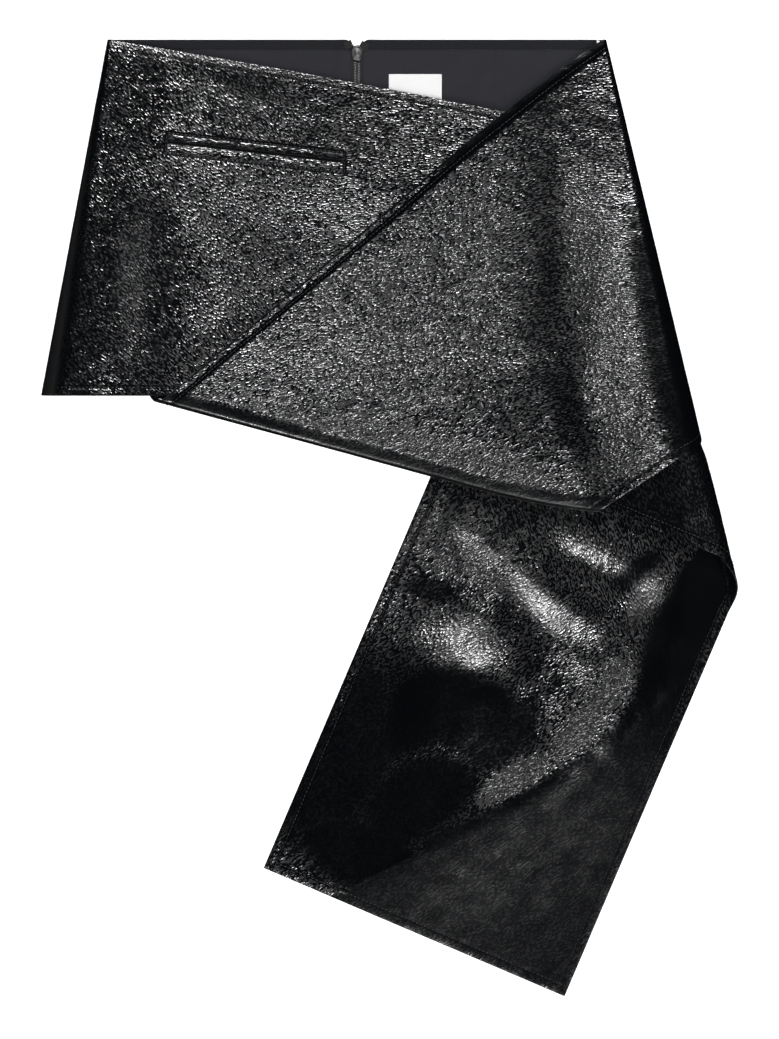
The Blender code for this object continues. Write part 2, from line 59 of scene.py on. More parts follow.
def along(rows, key, column):
    # smooth curve through the rows of a table, read at key
    rows = np.asarray(rows, float)
    keys, values = rows[:, 0], rows[:, column]
    slopes = np.empty(len(keys))
    slopes[1:-1] = (values[2:] - values[:-2]) / (keys[2:] - keys[:-2])
    slopes[0] = (values[1] - values[0]) / (keys[1] - keys[0])
    slopes[-1] = (values[-1] - values[-2]) / (keys[-1] - keys[-2])
    i = np.clip(np.searchsorted(keys, key, side="left") - 1, 0, len(keys) - 2)
    span = keys[i + 1] - keys[i]
    t = np.clip((key - keys[i]) / span, 0.0, 1.0)
    value = lerp(values[i], values[i + 1], t * t * (3.0 - 2.0 * t))
    return value + span * (t * (1.0 - t) ** 2 * slopes[i] + t * t * (t - 1.0) * slopes[i + 1])


def heading(degrees):
    a = math.radians(degrees)
    return np.array((math.cos(a), math.sin(a)))


def unit(v):
    return v / np.maximum(np.linalg.norm(v, axis=-1, keepdims=True), 1e-9)


def ripple(u, v, wave, seed, aim=0.0, spread=180.0):
    # uneven waves about one wavelength long, heading within spread of aim, about 1 high
    rng = np.random.default_rng(seed)
    count, shortest, longest = 14, 0.75, 1.35
    total = 0.0
    for _ in range(count):
        a = math.radians(aim + rng.uniform(-spread, spread))
        k = 2.0 * math.pi / (wave * rng.uniform(shortest, longest))
        total = total + np.sin((u * math.cos(a) + v * math.sin(a)) * k + rng.uniform(0.0, 6.28))
    return total / math.sqrt(count / 2.0)


def ripples(u, v, rows):
    # waves laid over each other: height, wavelength, seed and, where they have one, aim and spread
    return sum(high * ripple(u, v, *wave) for high, *wave in rows)


def turned(x, y, degrees):
    # how far along a heading a point lies, and how far across it
    c, s = heading(degrees)
    return x * c + y * s, y * c - x * s


def ridges(x, y, rows):
    # soft ridges (+) and troughs (-) as listed: x, y, length, width, angle, height;
    # a pair of widths is for the steep side and the gentle side
    total = np.zeros_like(x)
    for cx, cy, length, width, angle, height in rows:
        a, b = turned(x - cx, y - cy, angle)
        steep, gentle = np.broadcast_to(width, 2)
        a, b = a / (0.5 * length), b / (0.5 * np.where(b > 0.0, steep, gentle))
        total += height * np.clip(1.0 - a * a, 0.0, None) ** 1.5 * np.exp(-b * b)
    return total


def patches(x, y, rows):
    # soft oval patches, 0 to 1: x, y, length, width, angle, amount
    core, fade = 0.45, 0.75  # of the half length: full inside the core, then fading
    total = np.zeros_like(x)
    for cx, cy, length, width, angle, amount in rows:
        a, b = turned(x - cx, y - cy, angle)
        away = np.hypot(a / (0.5 * length), b / (0.5 * width))
        total = np.maximum(total, amount * (1.0 - smooth((away - core) / fade)))
    return total


def valley(distance, reach, power=2):
    # 1 on a line, falling away to both sides
    return np.exp(-(distance / reach) ** power)


def steps(*runs):
    # shares from 0 to 1 with a cell size for each (length, size) run
    edges = [0.0]
    for length, size in runs:
        count = max(1, round(length / size))
        edges += list(edges[-1] + np.arange(1, count + 1) * (length / count))
    edges = np.array(edges)
    return edges / edges[-1]


def distanceTo(points, line):
    # distance in space from each point to a chain of points
    best = np.full(points.shape[:-1], 1e9)
    for a, b in zip(line[:-1], line[1:]):
        ab = b - a
        t = np.clip(((points - a) @ ab) / max(ab @ ab, 1e-9), 0.0, 1.0)
        best = np.minimum(best, np.linalg.norm(points - a - t[..., None] * ab, axis=-1))
    return best


def gridNormals(points):
    # normals of a grid, to the side of (next row) x (next column)
    filled = np.where(np.isnan(points), 0.0, points)
    known = ~np.isnan(points[..., 0])

    def difference(axis):
        ahead = np.roll(filled, -1, axis)
        behind = np.roll(filled, 1, axis)
        knownAhead, knownBehind = np.roll(known, -1, axis), np.roll(known, 1, axis)
        last = [slice(None)] * 2
        last[axis] = -1
        knownAhead[tuple(last)] = False
        last[axis] = 0
        knownBehind[tuple(last)] = False
        ahead = np.where(knownAhead[..., None], ahead, filled)
        behind = np.where(knownBehind[..., None], behind, filled)
        return ahead - behind

    return unit(np.cross(difference(0), difference(1)))


def arcLengths(points, axis):
    # running length along one axis of a grid
    filled = np.where(np.isnan(points), 0.0, points)
    parts = np.linalg.norm(np.diff(filled, axis=axis), axis=-1)
    parts = np.where(parts > longestCell, 0.0, parts)  # the step into an empty part of the grid
    first = np.zeros_like(np.take(parts, [0], axis=axis))
    return np.concatenate([first, np.cumsum(parts, axis=axis)], axis=axis)


def addMesh(name, verts, faces, finish, floats=None, sharp=None):
    mesh = bpy.data.meshes.new(name)
    mesh.from_pydata((np.asarray(verts) * mm).tolist(), [], faces)
    for key, values in (floats or {}).items():
        attribute = mesh.attributes.new(key, "FLOAT", "POINT")
        attribute.data.foreach_set("value", np.asarray(values, np.float32))
    mesh.materials.append(finish)
    mesh.shade_smooth()
    if sharp:
        mesh.set_sharp_from_angle(angle=math.radians(sharp))
    obj = bpy.data.objects.new(name, mesh)
    bpy.context.scene.collection.objects.link(obj)
    return obj


# a cut or turned edge has little gloss; bulge is its roundness as a share of a half circle, and
# of its turns, in degrees, the first and last keep the faces flat up to the rim
rim = {"bulge": 0.4, "turns": (8.0, 45.0, 90.0, 135.0, 172.0), "shades": {"worn": 5.0, "grain": 1.0}}


def borderOf(ring, count):
    # the edges that only one cell uses, in that cell's direction
    edges = np.concatenate([ring[:, [k, (k + 1) % 4]] for k in range(4)])
    keys = np.sort(edges, axis=1)
    order = keys[:, 0] * count + keys[:, 1]
    _, first, counts = np.unique(order, return_index=True, return_counts=True)
    return edges[first[counts == 1]]


def clothShell(name, finish, face, back, floats=None, cut=None):
    # closed sheet between two grids of points, with a round rim all round; cells in cut stay open
    rows, cols = face.shape[:2]
    known = ~np.isnan(face[..., 0])
    cells = known[:-1, :-1] & known[1:, :-1] & known[1:, 1:] & known[:-1, 1:]
    if cut is not None:
        cells &= ~cut
    index = np.full((rows, cols), -1)
    used = np.zeros((rows, cols), bool)
    for di in (0, 1):
        for dj in (0, 1):
            used[di:rows - 1 + di, dj:cols - 1 + dj] |= cells
    index[used] = np.arange(used.sum())
    outer, inner = face[used], back[used]
    away = unit(outer - inner)
    half = 0.5 * np.linalg.norm(outer - inner, axis=1, keepdims=True)
    i, j = np.nonzero(cells)
    ring = np.stack([index[i, j], index[i + 1, j], index[i + 1, j + 1], index[i, j + 1]], axis=1)
    a, b, c = (outer[ring[:, k]] for k in (0, 1, 2))
    if np.sum(np.cross(b - a, c - b) * away[ring[:, 0]]) < 0.0:
        ring = ring[:, ::-1]
    border = borderOf(ring, len(outer))
    push = np.zeros_like(outer)
    run = unit(outer[border[:, 1]] - outer[border[:, 0]])
    for end in (0, 1):
        np.add.at(push, border[:, end], np.cross(run, away[border[:, end]]))
    sideways = unit(push) * rim["bulge"]
    rimIds = np.unique(border)
    slot = np.full(len(outer), -1)
    slot[rimIds] = np.arange(len(rimIds))
    layers = [outer]
    for turn in rim["turns"]:
        c, s = heading(turn)
        layers.append((0.5 * (outer + inner) + half * (away * c + sideways * s))[rimIds])
    layers.append(inner)
    starts = np.cumsum([0] + [len(layer) for layer in layers])
    faces = ring.tolist() + (ring[:, ::-1] + starts[-2]).tolist()

    def at(level, ids):
        return ids + starts[level] if level in (0, len(layers) - 1) else slot[ids] + starts[level]

    for level in range(len(layers) - 1):
        a, b = border[:, 0], border[:, 1]
        band = np.stack([at(level, b), at(level, a), at(level + 1, a), at(level + 1, b)], axis=1)
        faces += band.tolist()
    spread = {}
    for key, values in {"worn": 0.0, **(floats or {})}.items():
        flat = np.broadcast_to(values, used.shape)[used].astype(float)
        atRim = np.maximum(flat[rimIds], rim["shades"].get(key, flat[rimIds]))
        spread[key] = np.concatenate([flat] + [atRim] * len(rim["turns"]) + [flat])
    return addMesh(name, np.concatenate(layers), faces, finish, spread)


def profileAt(distances, rows):
    # height across a seam, from its distance to the cloth's edge
    rows = np.asarray(rows, float)
    return along(rows, np.minimum(distances, rows[-1, 0]), 1)


def seamPath(face, normals, distances, axis, fromEnd, offset):
    # points and normals where a seam runs, offset from the edge at one end of an axis
    if axis == 1:
        face, normals, distances = (np.swapaxes(a, 0, 1) for a in (face, normals, distances))
    if fromEnd:
        face, normals, distances = face[::-1], normals[::-1], distances[::-1]
    path, ups = [], []
    for j in range(face.shape[1]):
        column = distances[:, j]
        hits = np.nonzero((column[1:] >= offset) & (column[:-1] < offset))[0]
        if len(hits) and not np.isnan(face[hits[0] + 1, j, 0]):
            i = hits[0]
            t = (offset - column[i]) / (column[i + 1] - column[i])
            path.append(lerp(face[i, j], face[i + 1, j], t))
            ups.append(lerp(normals[i, j], normals[i + 1, j], t))
    return np.array(path), unit(np.array(ups))


def tubeFaces(start, ringCount, sides):
    # quads between rings of points, and a cap at each end
    faces = []
    for r in range(ringCount - 1):
        for k in range(sides):
            k2 = (k + 1) % sides
            a, b = start + r * sides, start + (r + 1) * sides
            faces.append((a + k, a + k2, b + k2, b + k))
    faces.append(tuple(start + k for k in reversed(range(sides))))
    faces.append(tuple(start + (ringCount - 1) * sides + k for k in range(sides)))
    return faces


# one stitch: share of its length and of its radius for each ring, and how far its ends dip
stitch = {"rings": [(-0.5, 0.25), (-0.38, 0.85), (0.0, 1.0), (0.38, 0.85), (0.5, 0.25)],
          "sides": 6, "dip": -0.25}


def readPath(where, lengths, values):
    return np.stack([np.interp(where, lengths, values[:, k]) for k in range(3)], 1)


def stitches(paths, pitch=3.3, length=2.5, radius=0.3, sink=0.1):
    # short round stitches along each (points, normals) path: vertices and faces
    rings, sides = stitch["rings"], stitch["sides"]
    verts, faces = [], []
    start = 0
    for points, ups in paths:
        lengths = np.concatenate([[0.0], np.cumsum(np.linalg.norm(np.diff(points, axis=0), axis=1))])
        count = int(lengths[-1] / pitch)
        middles = (np.arange(count) + 0.5) * pitch
        back, mid, ahead = (readPath(middles + half, lengths, points)
                            for half in (-0.5 * length, 0.0, 0.5 * length))
        up, run = unit(readPath(middles, lengths, ups)), unit(ahead - back)
        across = unit(np.cross(up, run))
        up = np.cross(run, across)
        centre = mid + up * (radius - sink)
        for share, size in rings:
            for k in range(sides):
                a = 2.0 * math.pi * k / sides
                bow = up * (stitch["dip"] * abs(share) * 2.0 * radius)
                verts.append(centre + run * (share * length) + bow
                             + (across * math.cos(a) + up * math.sin(a)) * (radius * size))
        # each vertex of the first stitch stands for a whole run of them
        runs = [start + k * count + np.arange(count) for k in range(len(rings) * sides)]
        for face in tubeFaces(0, len(rings), sides):
            faces += np.stack([runs[k] for k in face], 1).tolist()
        start += len(runs) * count
    return np.concatenate(verts), faces


def settle(obj, slot, *nodes):
    # every piece rides on the one body, and takes the place of its plain solid
    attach(obj, "root")
    if nodes:
        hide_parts(*nodes)
    return obj


def sewLine(name, paths, finish, slot="vinyl", **sizes):
    verts, faces = stitches(paths, **sizes)
    return settle(addMesh(name, verts, faces, finish), slot)


def newMaterial(name):
    mat = bpy.data.materials.new(name)
    mat.use_nodes = True
    return mat, mat.node_tree, mat.node_tree.nodes["Principled BSDF"]


def fill(node, values):
    # sets each named socket to a value, or links another node's output to it
    for socket, value in values.items():
        if isinstance(value, bpy.types.NodeSocket):
            node.id_data.links.new(value, node.inputs[socket])
        else:
            node.inputs[socket].default_value = value
    return node


def addNode(tree, kind, values, output=0):
    return fill(tree.nodes.new("ShaderNode" + kind), values).outputs[output]


def mathNode(tree, operation, a, b):
    node = tree.nodes.new("ShaderNodeMath")
    node.operation = operation
    return fill(node, {0: a, 1: b}).outputs[0]


def noiseNode(tree, vector, scale, detail=2.0, rough=0.6, distort=0.0):
    return addNode(tree, "TexNoise", {"Vector": vector, "Scale": scale, "Detail": detail,
                                      "Roughness": rough, "Distortion": distort})


def rangeNode(tree, value, levels, results):
    values = dict(zip(("From Min", "From Max", "To Min", "To Max"), (*levels, *results)))
    return addNode(tree, "MapRange", {"Value": value, **values}, "Result")


def rampNode(tree, value, low, high):
    node = tree.nodes.new("ShaderNodeValToRGB")
    for element, colour in zip(node.color_ramp.elements, (low, high)):
        element.color = (*colour, 1.0)
    return fill(node, {"Fac": value}).outputs["Color"]


def bumpNode(tree, height, distance, **more):
    return addNode(tree, "Bump", {"Height": height, "Distance": distance, **more}, "Normal")


def shadeOf(tree, name):
    # one of the numbers that a mesh carries at its points
    node = tree.nodes.new("ShaderNodeAttribute")
    node.attribute_name = name
    return node.outputs["Fac"]


def objectCoords(tree):
    return addNode(tree, "TexCoord", {}, "Object")


def mapped(tree, turn, stretch):
    # object coordinates turned by some degrees and squeezed across the turned direction
    node = tree.nodes.new("ShaderNodeMapping")
    node.vector_type = "TEXTURE"
    return fill(node, {"Vector": objectCoords(tree), "Rotation": (0.0, 0.0, math.radians(turn)),
                       "Scale": (stretch, 1.0, 1.0)}).outputs["Vector"]


vinylFinish = {
    "base": (0.0018, 0.0023, 0.003),
    "roughness": 0.13,
    "coat": 0.3,
    "coatRoughness": 0.06,
    "worn": 0.08,  # roughness that full wear adds
    "drift": (35.0, -0.05, 0.07),  # scale, least and most change of roughness over the cloth
    "crinkle": {
        "scale": 880.0, "stretch": 2.3, "distort": 0.3, "depth": 0.0005,
        # heights where the furrows end and the ridges begin, and how dull the furrows are
        "furrow": (0.35, 0.55), "dull": 0.4,
        # scale, noise levels, least and most share of the depth
        "clumps": (170.0, (0.35, 0.65), (0.7, 1.3)),
    },
    "pebble": {"scale": 1500.0, "depth": 0.00002},
}


def crinkledVinyl(name, grains):
    # grains are the headings of the crinkle: it flows from the first to the second over the cloth
    mat, tree, shader = newMaterial(name)
    look, crinkle, pebble = vinylFinish, vinylFinish["crinkle"], vinylFinish["pebble"]
    spaces = [mapped(tree, angle, crinkle["stretch"]) for angle in grains]
    heights = [noiseNode(tree, space, crinkle["scale"], 0.0, 0.4, crinkle["distort"]) for space in spaces]
    height = heights[0]
    if len(heights) > 1:
        height = addNode(tree, "Mix", {"Factor": shadeOf(tree, "flow"), "A": heights[0],
                                       "B": heights[1]}, "Result")
    grain, coords = shadeOf(tree, "grain"), objectCoords(tree)
    clumpScale, levels, shares = crinkle["clumps"]
    clumps = rangeNode(tree, noiseNode(tree, spaces[-1], clumpScale), levels, shares)
    standing = mathNode(tree, "MULTIPLY", grain, clumps)
    crinkled = bumpNode(tree, height, crinkle["depth"], Strength=standing)
    normal = bumpNode(tree, noiseNode(tree, coords, pebble["scale"]), pebble["depth"], Normal=crinkled)
    driftScale, least, most = look["drift"]
    drift = noiseNode(tree, coords, driftScale, 3.0)
    gloss = rangeNode(tree, drift, (0.0, 1.0), (look["roughness"] + least, look["roughness"] + most))
    furrow = rangeNode(tree, height, crinkle["furrow"], (crinkle["dull"], 0.0))
    dull = mathNode(tree, "MULTIPLY", furrow, grain)
    wear = mathNode(tree, "MULTIPLY", shadeOf(tree, "worn"), look["worn"])
    rough = mathNode(tree, "ADD", mathNode(tree, "ADD", gloss, dull), wear)
    fill(shader, {"Base Color": (*look["base"], 1.0), "Roughness": rough, "Normal": normal,
                  "Coat Weight": look["coat"], "Coat Roughness": look["coatRoughness"],
                  "Coat Normal": normal})
    return mat


def wovenCloth(name, colour, roughness, scale, depth, sheen=0.0, contrast=0.35, band=None):
    # plain weave from two crossing waves, with a slow drift of tone; band is a second, darker colour, used
    # as painted shade
    mat, tree, shader = newMaterial(name)
    coords = objectCoords(tree)
    waves = []
    for direction in ("X", "Y"):
        wave = tree.nodes.new("ShaderNodeTexWave")
        wave.bands_direction = direction
        fill(wave, {"Vector": coords, "Scale": scale, "Distortion": 1.2, "Detail": 1.0,
                    "Detail Scale": 1.5})
        waves.append(wave.outputs["Fac"])
    weave = mathNode(tree, "MULTIPLY", *waves)
    drift = noiseNode(tree, coords, 60.0, 4.0)
    weaveShare, driftShare = 0.6, 0.4
    shade = mathNode(tree, "ADD", mathNode(tree, "MULTIPLY", weave, weaveShare),
                     mathNode(tree, "MULTIPLY", drift, driftShare))
    cloth = rampNode(tree, shade, *([min(1.0, c * level) for c in colour]
                                    for level in (1.0 - contrast, 1.0 + contrast)))
    if band:
        blend = tree.nodes.new("ShaderNodeMix")
        blend.data_type = "RGBA"
        cloth = fill(blend, {0: shadeOf(tree, "band"), 6: cloth, 7: (*band, 1.0)}).outputs[2]
    fill(shader, {"Base Color": cloth, "Normal": bumpNode(tree, weave, depth), "Roughness": roughness,
                  "Specular IOR Level": 0.2, "Sheen Weight": sheen})
    return mat


def threadFinish(name, colour, roughness, ridge=0.00008):
    # twisted thread: fine ridges across it and an uneven shade
    mat, tree, shader = newMaterial(name)
    twist = noiseNode(tree, objectCoords(tree), 2600.0)
    shade = rampNode(tree, twist, *([level * c for c in colour] for level in (0.6, 1.4)))
    fill(shader, {"Base Color": shade, "Normal": bumpNode(tree, twist, ridge), "Roughness": roughness})
    return mat


def platedMetal(name, colour, rough=(0.4, 0.65), dents=0.00005):
    mat, tree, shader = newMaterial(name)
    wear = noiseNode(tree, objectCoords(tree), 900.0, 3.0, 0.65)
    shade = rampNode(tree, wear, *([level * c for c in colour] for level in (0.35, 1.3)))
    fill(shader, {"Base Color": shade, "Normal": bumpNode(tree, wear, dents), "Metallic": 0.9,
                  "Roughness": rangeNode(tree, wear, (0.0, 1.0), rough)})
    return mat


vinylFront = crinkledVinyl("vinylFront", (-45.0, 5.0))
vinylWrap = crinkledVinyl("vinylWrap", (24.0, 8.0))
vinylTail = crinkledVinyl("vinylTail", (35.0, 110.0))
vinylBack = crinkledVinyl("vinylBack", (0.0,))
# its band colour is darker: painted shade of the rolled top of the waistband
liningTwill = wovenCloth("liningTwill", (0.021, 0.0215, 0.028), 0.85, 520.0, 0.00006, sheen=0.02,
                         band=(0.0075, 0.008, 0.0115))
# near black: the bag shows only through the pocket's slit, and its colour is painted shadow inside the slit
pocketShadowTwill = wovenCloth("pocketShadowTwill", (0.0012, 0.0012, 0.0016), 0.9, 520.0, 0.00006)
labelSatin = wovenCloth("labelSatin", (0.95, 0.95, 0.945), 0.6, 900.0, 0.00003, contrast=0.03)
zipWeave = wovenCloth("zipWeave", (0.022, 0.022, 0.024), 0.8, 800.0, 0.00008)
zipNylon = threadFinish("zipNylon", (0.13, 0.13, 0.125), 0.35)
blackThread = threadFinish("blackThread", (0.004, 0.004, 0.005), 0.4)
greyThread = threadFinish("greyThread", (0.02, 0.02, 0.028), 0.55)
gunmetal = platedMetal("gunmetal", (0.13, 0.13, 0.13))
print("finishes made")


# the hollow A-line body: half waist, flare per mm of fall, radii of the side folds
body = {
    "waistY": 372.8, "length": 277.3, "centreX": -25.0, "halfWaist": 194.5, "flare": 0.1843,
    "leftRoll": (3.0, 20.0), "rightRoll": (3.0, 12.0), "underWrap": 0.6, "sag": 12.0,
    "lip": 4.0, "wall": 1.2,
    "edgeStartX": -219.2, "edgeSlope": 0.163, "edgeCurve": 6.4e-5,
    "notch": {"depth": 5.4, "halfWidth": 9.0},
    # the back's lift over the end of the tail: height, from x, over, from y, over
    "rest": (1.7, 8.0, 50.0, 139.0, 30.0),
}
hemY = body["waistY"] - body["length"]


def fallShare(y):
    return np.clip((body["waistY"] - y) / body["length"], 0.0, 1.0)


def leftSide(y):
    side = body["centreX"] - body["halfWaist"] - body["flare"] * (body["waistY"] - y)
    return side, lerp(*body["leftRoll"], fallShare(y))


def rightSide(y):
    reach = body["halfWaist"] - body["underWrap"] + body["flare"] * (body["waistY"] - y)
    return body["centreX"] + reach, lerp(*body["rightRoll"], fallShare(y))


def backLift(x, y):
    height, startX, runX, startY, runY = body["rest"]
    return height * smooth((x - startX) / runX) * smooth((startY - y) / runY)


def frontTop(x, y):
    sideL, rollL = leftSide(y)
    sideR, rollR = rightSide(y)
    start, end = sideL + rollL, sideR - rollR
    t = np.clip((x - start) / (end - start), 0.0, 1.0)
    sag = body["sag"] * fallShare(y) * np.sin(math.pi * t) ** 2
    return lerp(2.0 * rollL, 2.0 * rollR + backLift(end, y), smooth(t)) - sag


def frontEdgeY(x):
    run = np.maximum(0.0, x - body["edgeStartX"])
    return body["waistY"] - body["edgeSlope"] * run - body["edgeCurve"] * run * run


def waistLine(x):
    dip = 1.0 - smooth(np.abs(x - body["centreX"]) / body["notch"]["halfWidth"])
    return body["waistY"] - body["notch"]["depth"] * dip


def backEdges(y):
    sideL, rollL = leftSide(y)
    sideR, rollR = rightSide(y)
    inset = body["lip"] + seam
    return sideL + rollL + inset, sideR - rollR - inset


pocket = {
    "leftX": -172.0, "topY": 298.8, "slope": 0.11, "height": 14.2, "upper": 4.9, "slit": 2.6,
    "from": 0.133, "to": 0.471, "recess": 0.35, "inset": 0.35, "topstitch": 1.3,
    "weltCells": ((137.0, 1.3), 0.6), "weltRipples": [(0.03, 6.0, 21)],
    # how high each welt is padded: in its middle, beside the slit
    "puff": (0.14, 0.06),
    "bag": {"margin": 7.0, "depth": 60.0, "wall": 1.0, "gap": 0.4, "cells": ((151.0, 3.5), (67.0, 3.5)),
            "ripples": [(0.12, 22.0, 22)], "sink": 0.15},
}
front = {
    # cells: their size, finer in runs beside the pocket and at the edges
    "cell": 2.4, "fine": 1.05, "fineRun": 8.0, "flatWidth": 405.0, "windowCell": 2.0,
    "leftRollCells": (62.0, 1.6), "rightRollCells": (38.0, 1.9), "above": (12.0, 40.0, 12.0),
    "below": (8.0, 162.0, 14.0),
    "topStitch": 5.8, "hemStitch": 6.0,
    "ripples": [(0.04, 26.0, 3), (0.02, 11.0, 4, -45.0, 50.0)], "lipFade": 12.0,
    # where the crinkle turns: from x, over, from y, over, least share
    "flow": (-150.0, 160.0, 60.0, 200.0, 0.3),
    # half widths of the dark stitch lines: top, hem, pocket
    "stitchDips": (0.9, 0.8, 1.3),
    "rollGrain": 0.12, "edgeGrain": (0.75, 9.0), "rollWorn": 6.0, "bandWorn": 0.8, "bandGrain": 0.1,
    # height across the top edge's seam, by distance from the edge
    "topSeam": [(0.0, -0.03), (1.2, 0.0), (3.0, 0.03), (4.6, 0.0), (5.8, -0.12), (7.2, 0.0),
                (11.0, 0.0)],
    "hemSeam": [(0.0, -0.03), (1.2, 0.0), (3.4, 0.04), (5.0, 0.0), (6.0, -0.12), (7.1, 0.0),
                (11.0, 0.0)],
    "creases": [
        # x, y, length, width, angle, height
        (-196.0, 190.0, 190.0, 34.0, 86.0, -1.2),
        (-232.0, 200.0, 150.0, 12.0, 80.0, 0.6),
        (-120.0, 150.0, 150.0, 46.0, 25.0, 1.0),
        (-60.0, 220.0, 170.0, 40.0, -10.0, 0.8),
        (-150.0, 240.0, 120.0, 22.0, -48.0, -0.6),
        (20.0, 270.0, 130.0, 30.0, 12.0, 0.6),
        (-110.0, 330.0, 140.0, 20.0, -14.0, -0.4),
    ],
    # where the crinkle is pressed smooth: x, y, length, width, angle, amount
    "smooth": [
        (-236.0, 170.0, 330.0, 84.0, 79.0, 0.64),
        (-192.0, 180.0, 270.0, 104.0, 86.0, 0.6),
        (-205.0, 325.0, 190.0, 100.0, 84.0, 0.64),
        (-150.0, 345.0, 190.0, 110.0, -20.0, 0.55),
        (-60.0, 362.0, 300.0, 70.0, -12.0, 0.4),
        (-20.0, 300.0, 250.0, 90.0, -20.0, 0.3),
        (-100.0, 110.0, 190.0, 50.0, 20.0, 0.3),
    ],
}


def frontPoint(zone, t, y):
    sideL, rollL = leftSide(y)
    sideR, rollR = rightSide(y)
    midL, midR = sideL + rollL, sideR - rollR
    flat = np.zeros_like(y)
    if zone == "leftLip":
        return np.stack([midL + body["lip"] * (1.0 - t), y, flat], -1)
    if zone == "leftRoll":
        a = math.pi * t
        return np.stack([midL - rollL * math.sin(a), y, rollL * (1.0 - math.cos(a))], -1)
    if zone == "top":
        x = lerp(midL, midR, t)
        return np.stack([x, y, frontTop(x, y)], -1)
    base = backLift(midR, y)
    if zone == "rightRoll":
        a = math.pi * (1.0 - t)
        return np.stack([midR + rollR * math.sin(a), y, base + rollR * (1.0 - math.cos(a))], -1)
    return np.stack([midR - body["lip"] * t, y, base + flat], -1)


def pocketLine(x, below):
    return pocket["topY"] - pocket["slope"] * (x - pocket["leftX"]) - below


def pocketX(t, y):
    sideL, rollL = leftSide(y)
    sideR, rollR = rightSide(y)
    return lerp(sideL + rollL, sideR - rollR, t)


def frontStations():
    # zone and share of each column of cells, from the left lip round to the right one
    cell, fine, run, width = (front[key] for key in ("cell", "fine", "fineRun", "flatWidth"))
    left, middle, right = (share * width for share in (
        pocket["from"], pocket["to"] - pocket["from"], 1.0 - pocket["to"]))
    finer = ((run, fine), (run, fine))
    top = steps((left - run, cell), *finer, (middle - 2.0 * run, cell), *finer, (right - run, cell))
    stations = [("leftLip", 0.0), ("leftLip", 0.5)]
    stations += [("leftRoll", t) for t in steps(front["leftRollCells"])]
    stations += [("top", t) for t in top[1:]]
    stations += [("rightRoll", t) for t in steps(front["rightRollCells"])[1:]]
    return stations + [("rightLip", 1.0)]


def frontColumn(zone, t, parts):
    # down one column: to the pocket's top line, across the pocket, and on to the hem
    above, across, below = parts
    top = np.array([body["waistY"]])
    if not zone.startswith("left"):
        for _ in range(6):
            top = frontEdgeY(frontPoint(zone, t, top)[:, 0])
    marks = []
    for drop in (0.0, pocket["height"]):
        y = top
        for _ in range(4):
            y = pocketLine(frontPoint(zone, t, y)[:, 0], drop)
        marks.append(y)
    ys = np.concatenate([lerp(top, marks[0], above), lerp(marks[0], marks[1], across)[1:],
                         lerp(marks[1], hemY, below)[1:]])
    return frontPoint(zone, t, ys)


def frontShades(base, toTop, toHem, toWindow):
    x, y, z = (base[..., k] for k in range(3))
    rollShare = smooth(np.clip((z - frontTop(x, y)) * -0.25, 0.0, 1.0))
    band = smooth((front["topStitch"] - toTop) / 1.0)
    atEdge, run = front["edgeGrain"]
    grain = lerp(1.0, front["rollGrain"], rollShare) * lerp(atEdge, 1.0, smooth(toTop / run))
    pressed = patches(x, y, front["smooth"]) * (1.0 - band)
    grain = grain * (1.0 - pressed) * (1.0 + front["bandGrain"] * band)
    lines = (toTop - front["topStitch"], toHem - front["hemStitch"], toWindow - pocket["topstitch"])
    for line, reach in zip(lines, front["stitchDips"]):
        grain = grain * (1.0 - valley(line, reach, 4))
    strip = patches(x, y, front["smooth"][:3])  # the dark strip beside the left fold
    worn = lerp(-1.0 * strip, front["rollWorn"], rollShare) + front["bandWorn"] * band
    startX, runX, startY, runY, least = front["flow"]
    flow = smooth((x - startX) / runX) * smooth((y - startY) / runY + least)
    return {"grain": grain, "worn": worn, "flow": flow}


def makeFront():
    cell, fine = front["cell"], front["fine"]
    stations = frontStations()
    above = steps(*zip(front["above"], (fine, cell, fine)))
    across = steps((pocket["height"], front["windowCell"]))
    below = steps(*zip(front["below"], (fine, cell, fine)))
    base = np.array([frontColumn(zone, t, (above, across, below)) for zone, t in stations])
    away = -gridNormals(base)
    if away[len(base) // 2, 40, 2] < 0.0:
        away = -away
    u, v = arcLengths(base, 0), arcLengths(base, 1)
    onFace = smooth(np.minimum(u, u[-1:] - u) / front["lipFade"])  # the side lips stay flat
    soft = ripples(u, v, front["ripples"])
    soft += ridges(base[..., 0], base[..., 1], front["creases"]) * (base[..., 2] > 3.0)
    base = base + away * (soft * onFace)[..., None]
    toTop, toHem = distanceTo(base, base[:, 0]), distanceTo(base, base[:, -1])
    seams = profileAt(toTop, front["topSeam"]) + profileAt(toHem, front["hemSeam"])
    window = [k for k, (zone, t) in enumerate(stations) if zone == "top"
              and pocket["from"] - 1e-6 < t < pocket["to"] + 1e-6]
    a, b = window[0], window[-1]
    firstRow, lastRow = len(above) - 1, len(above) + len(across) - 2
    cut = np.zeros((len(base) - 1, base.shape[1] - 1), bool)
    cut[a:b, firstRow:lastRow] = True
    ring = np.concatenate([base[a:b + 1, firstRow], base[b, firstRow:lastRow + 1],
                           base[a:b + 1, lastRow][::-1], base[a, firstRow:lastRow + 1][::-1]])
    toWindow = distanceTo(base, ring[::3])
    seams += -0.15 * valley(toWindow - pocket["topstitch"], 1.1)
    face = base + away * seams[..., None]
    shades = frontShades(base, toTop, toHem, toWindow)
    obj = clothShell("skirtFront", vinylFront, face, base - away * body["wall"], shades, cut)
    settle(obj, "vinyl", "skirt_front")
    paths = [seamPath(face, away, toTop, 1, False, front["topStitch"]),
             seamPath(face, away, toHem, 1, True, front["hemStitch"]),
             pocketTopstitch(face, away, a, b, firstRow, lastRow)]
    thread = sewLine("frontStitches", paths, blackThread)


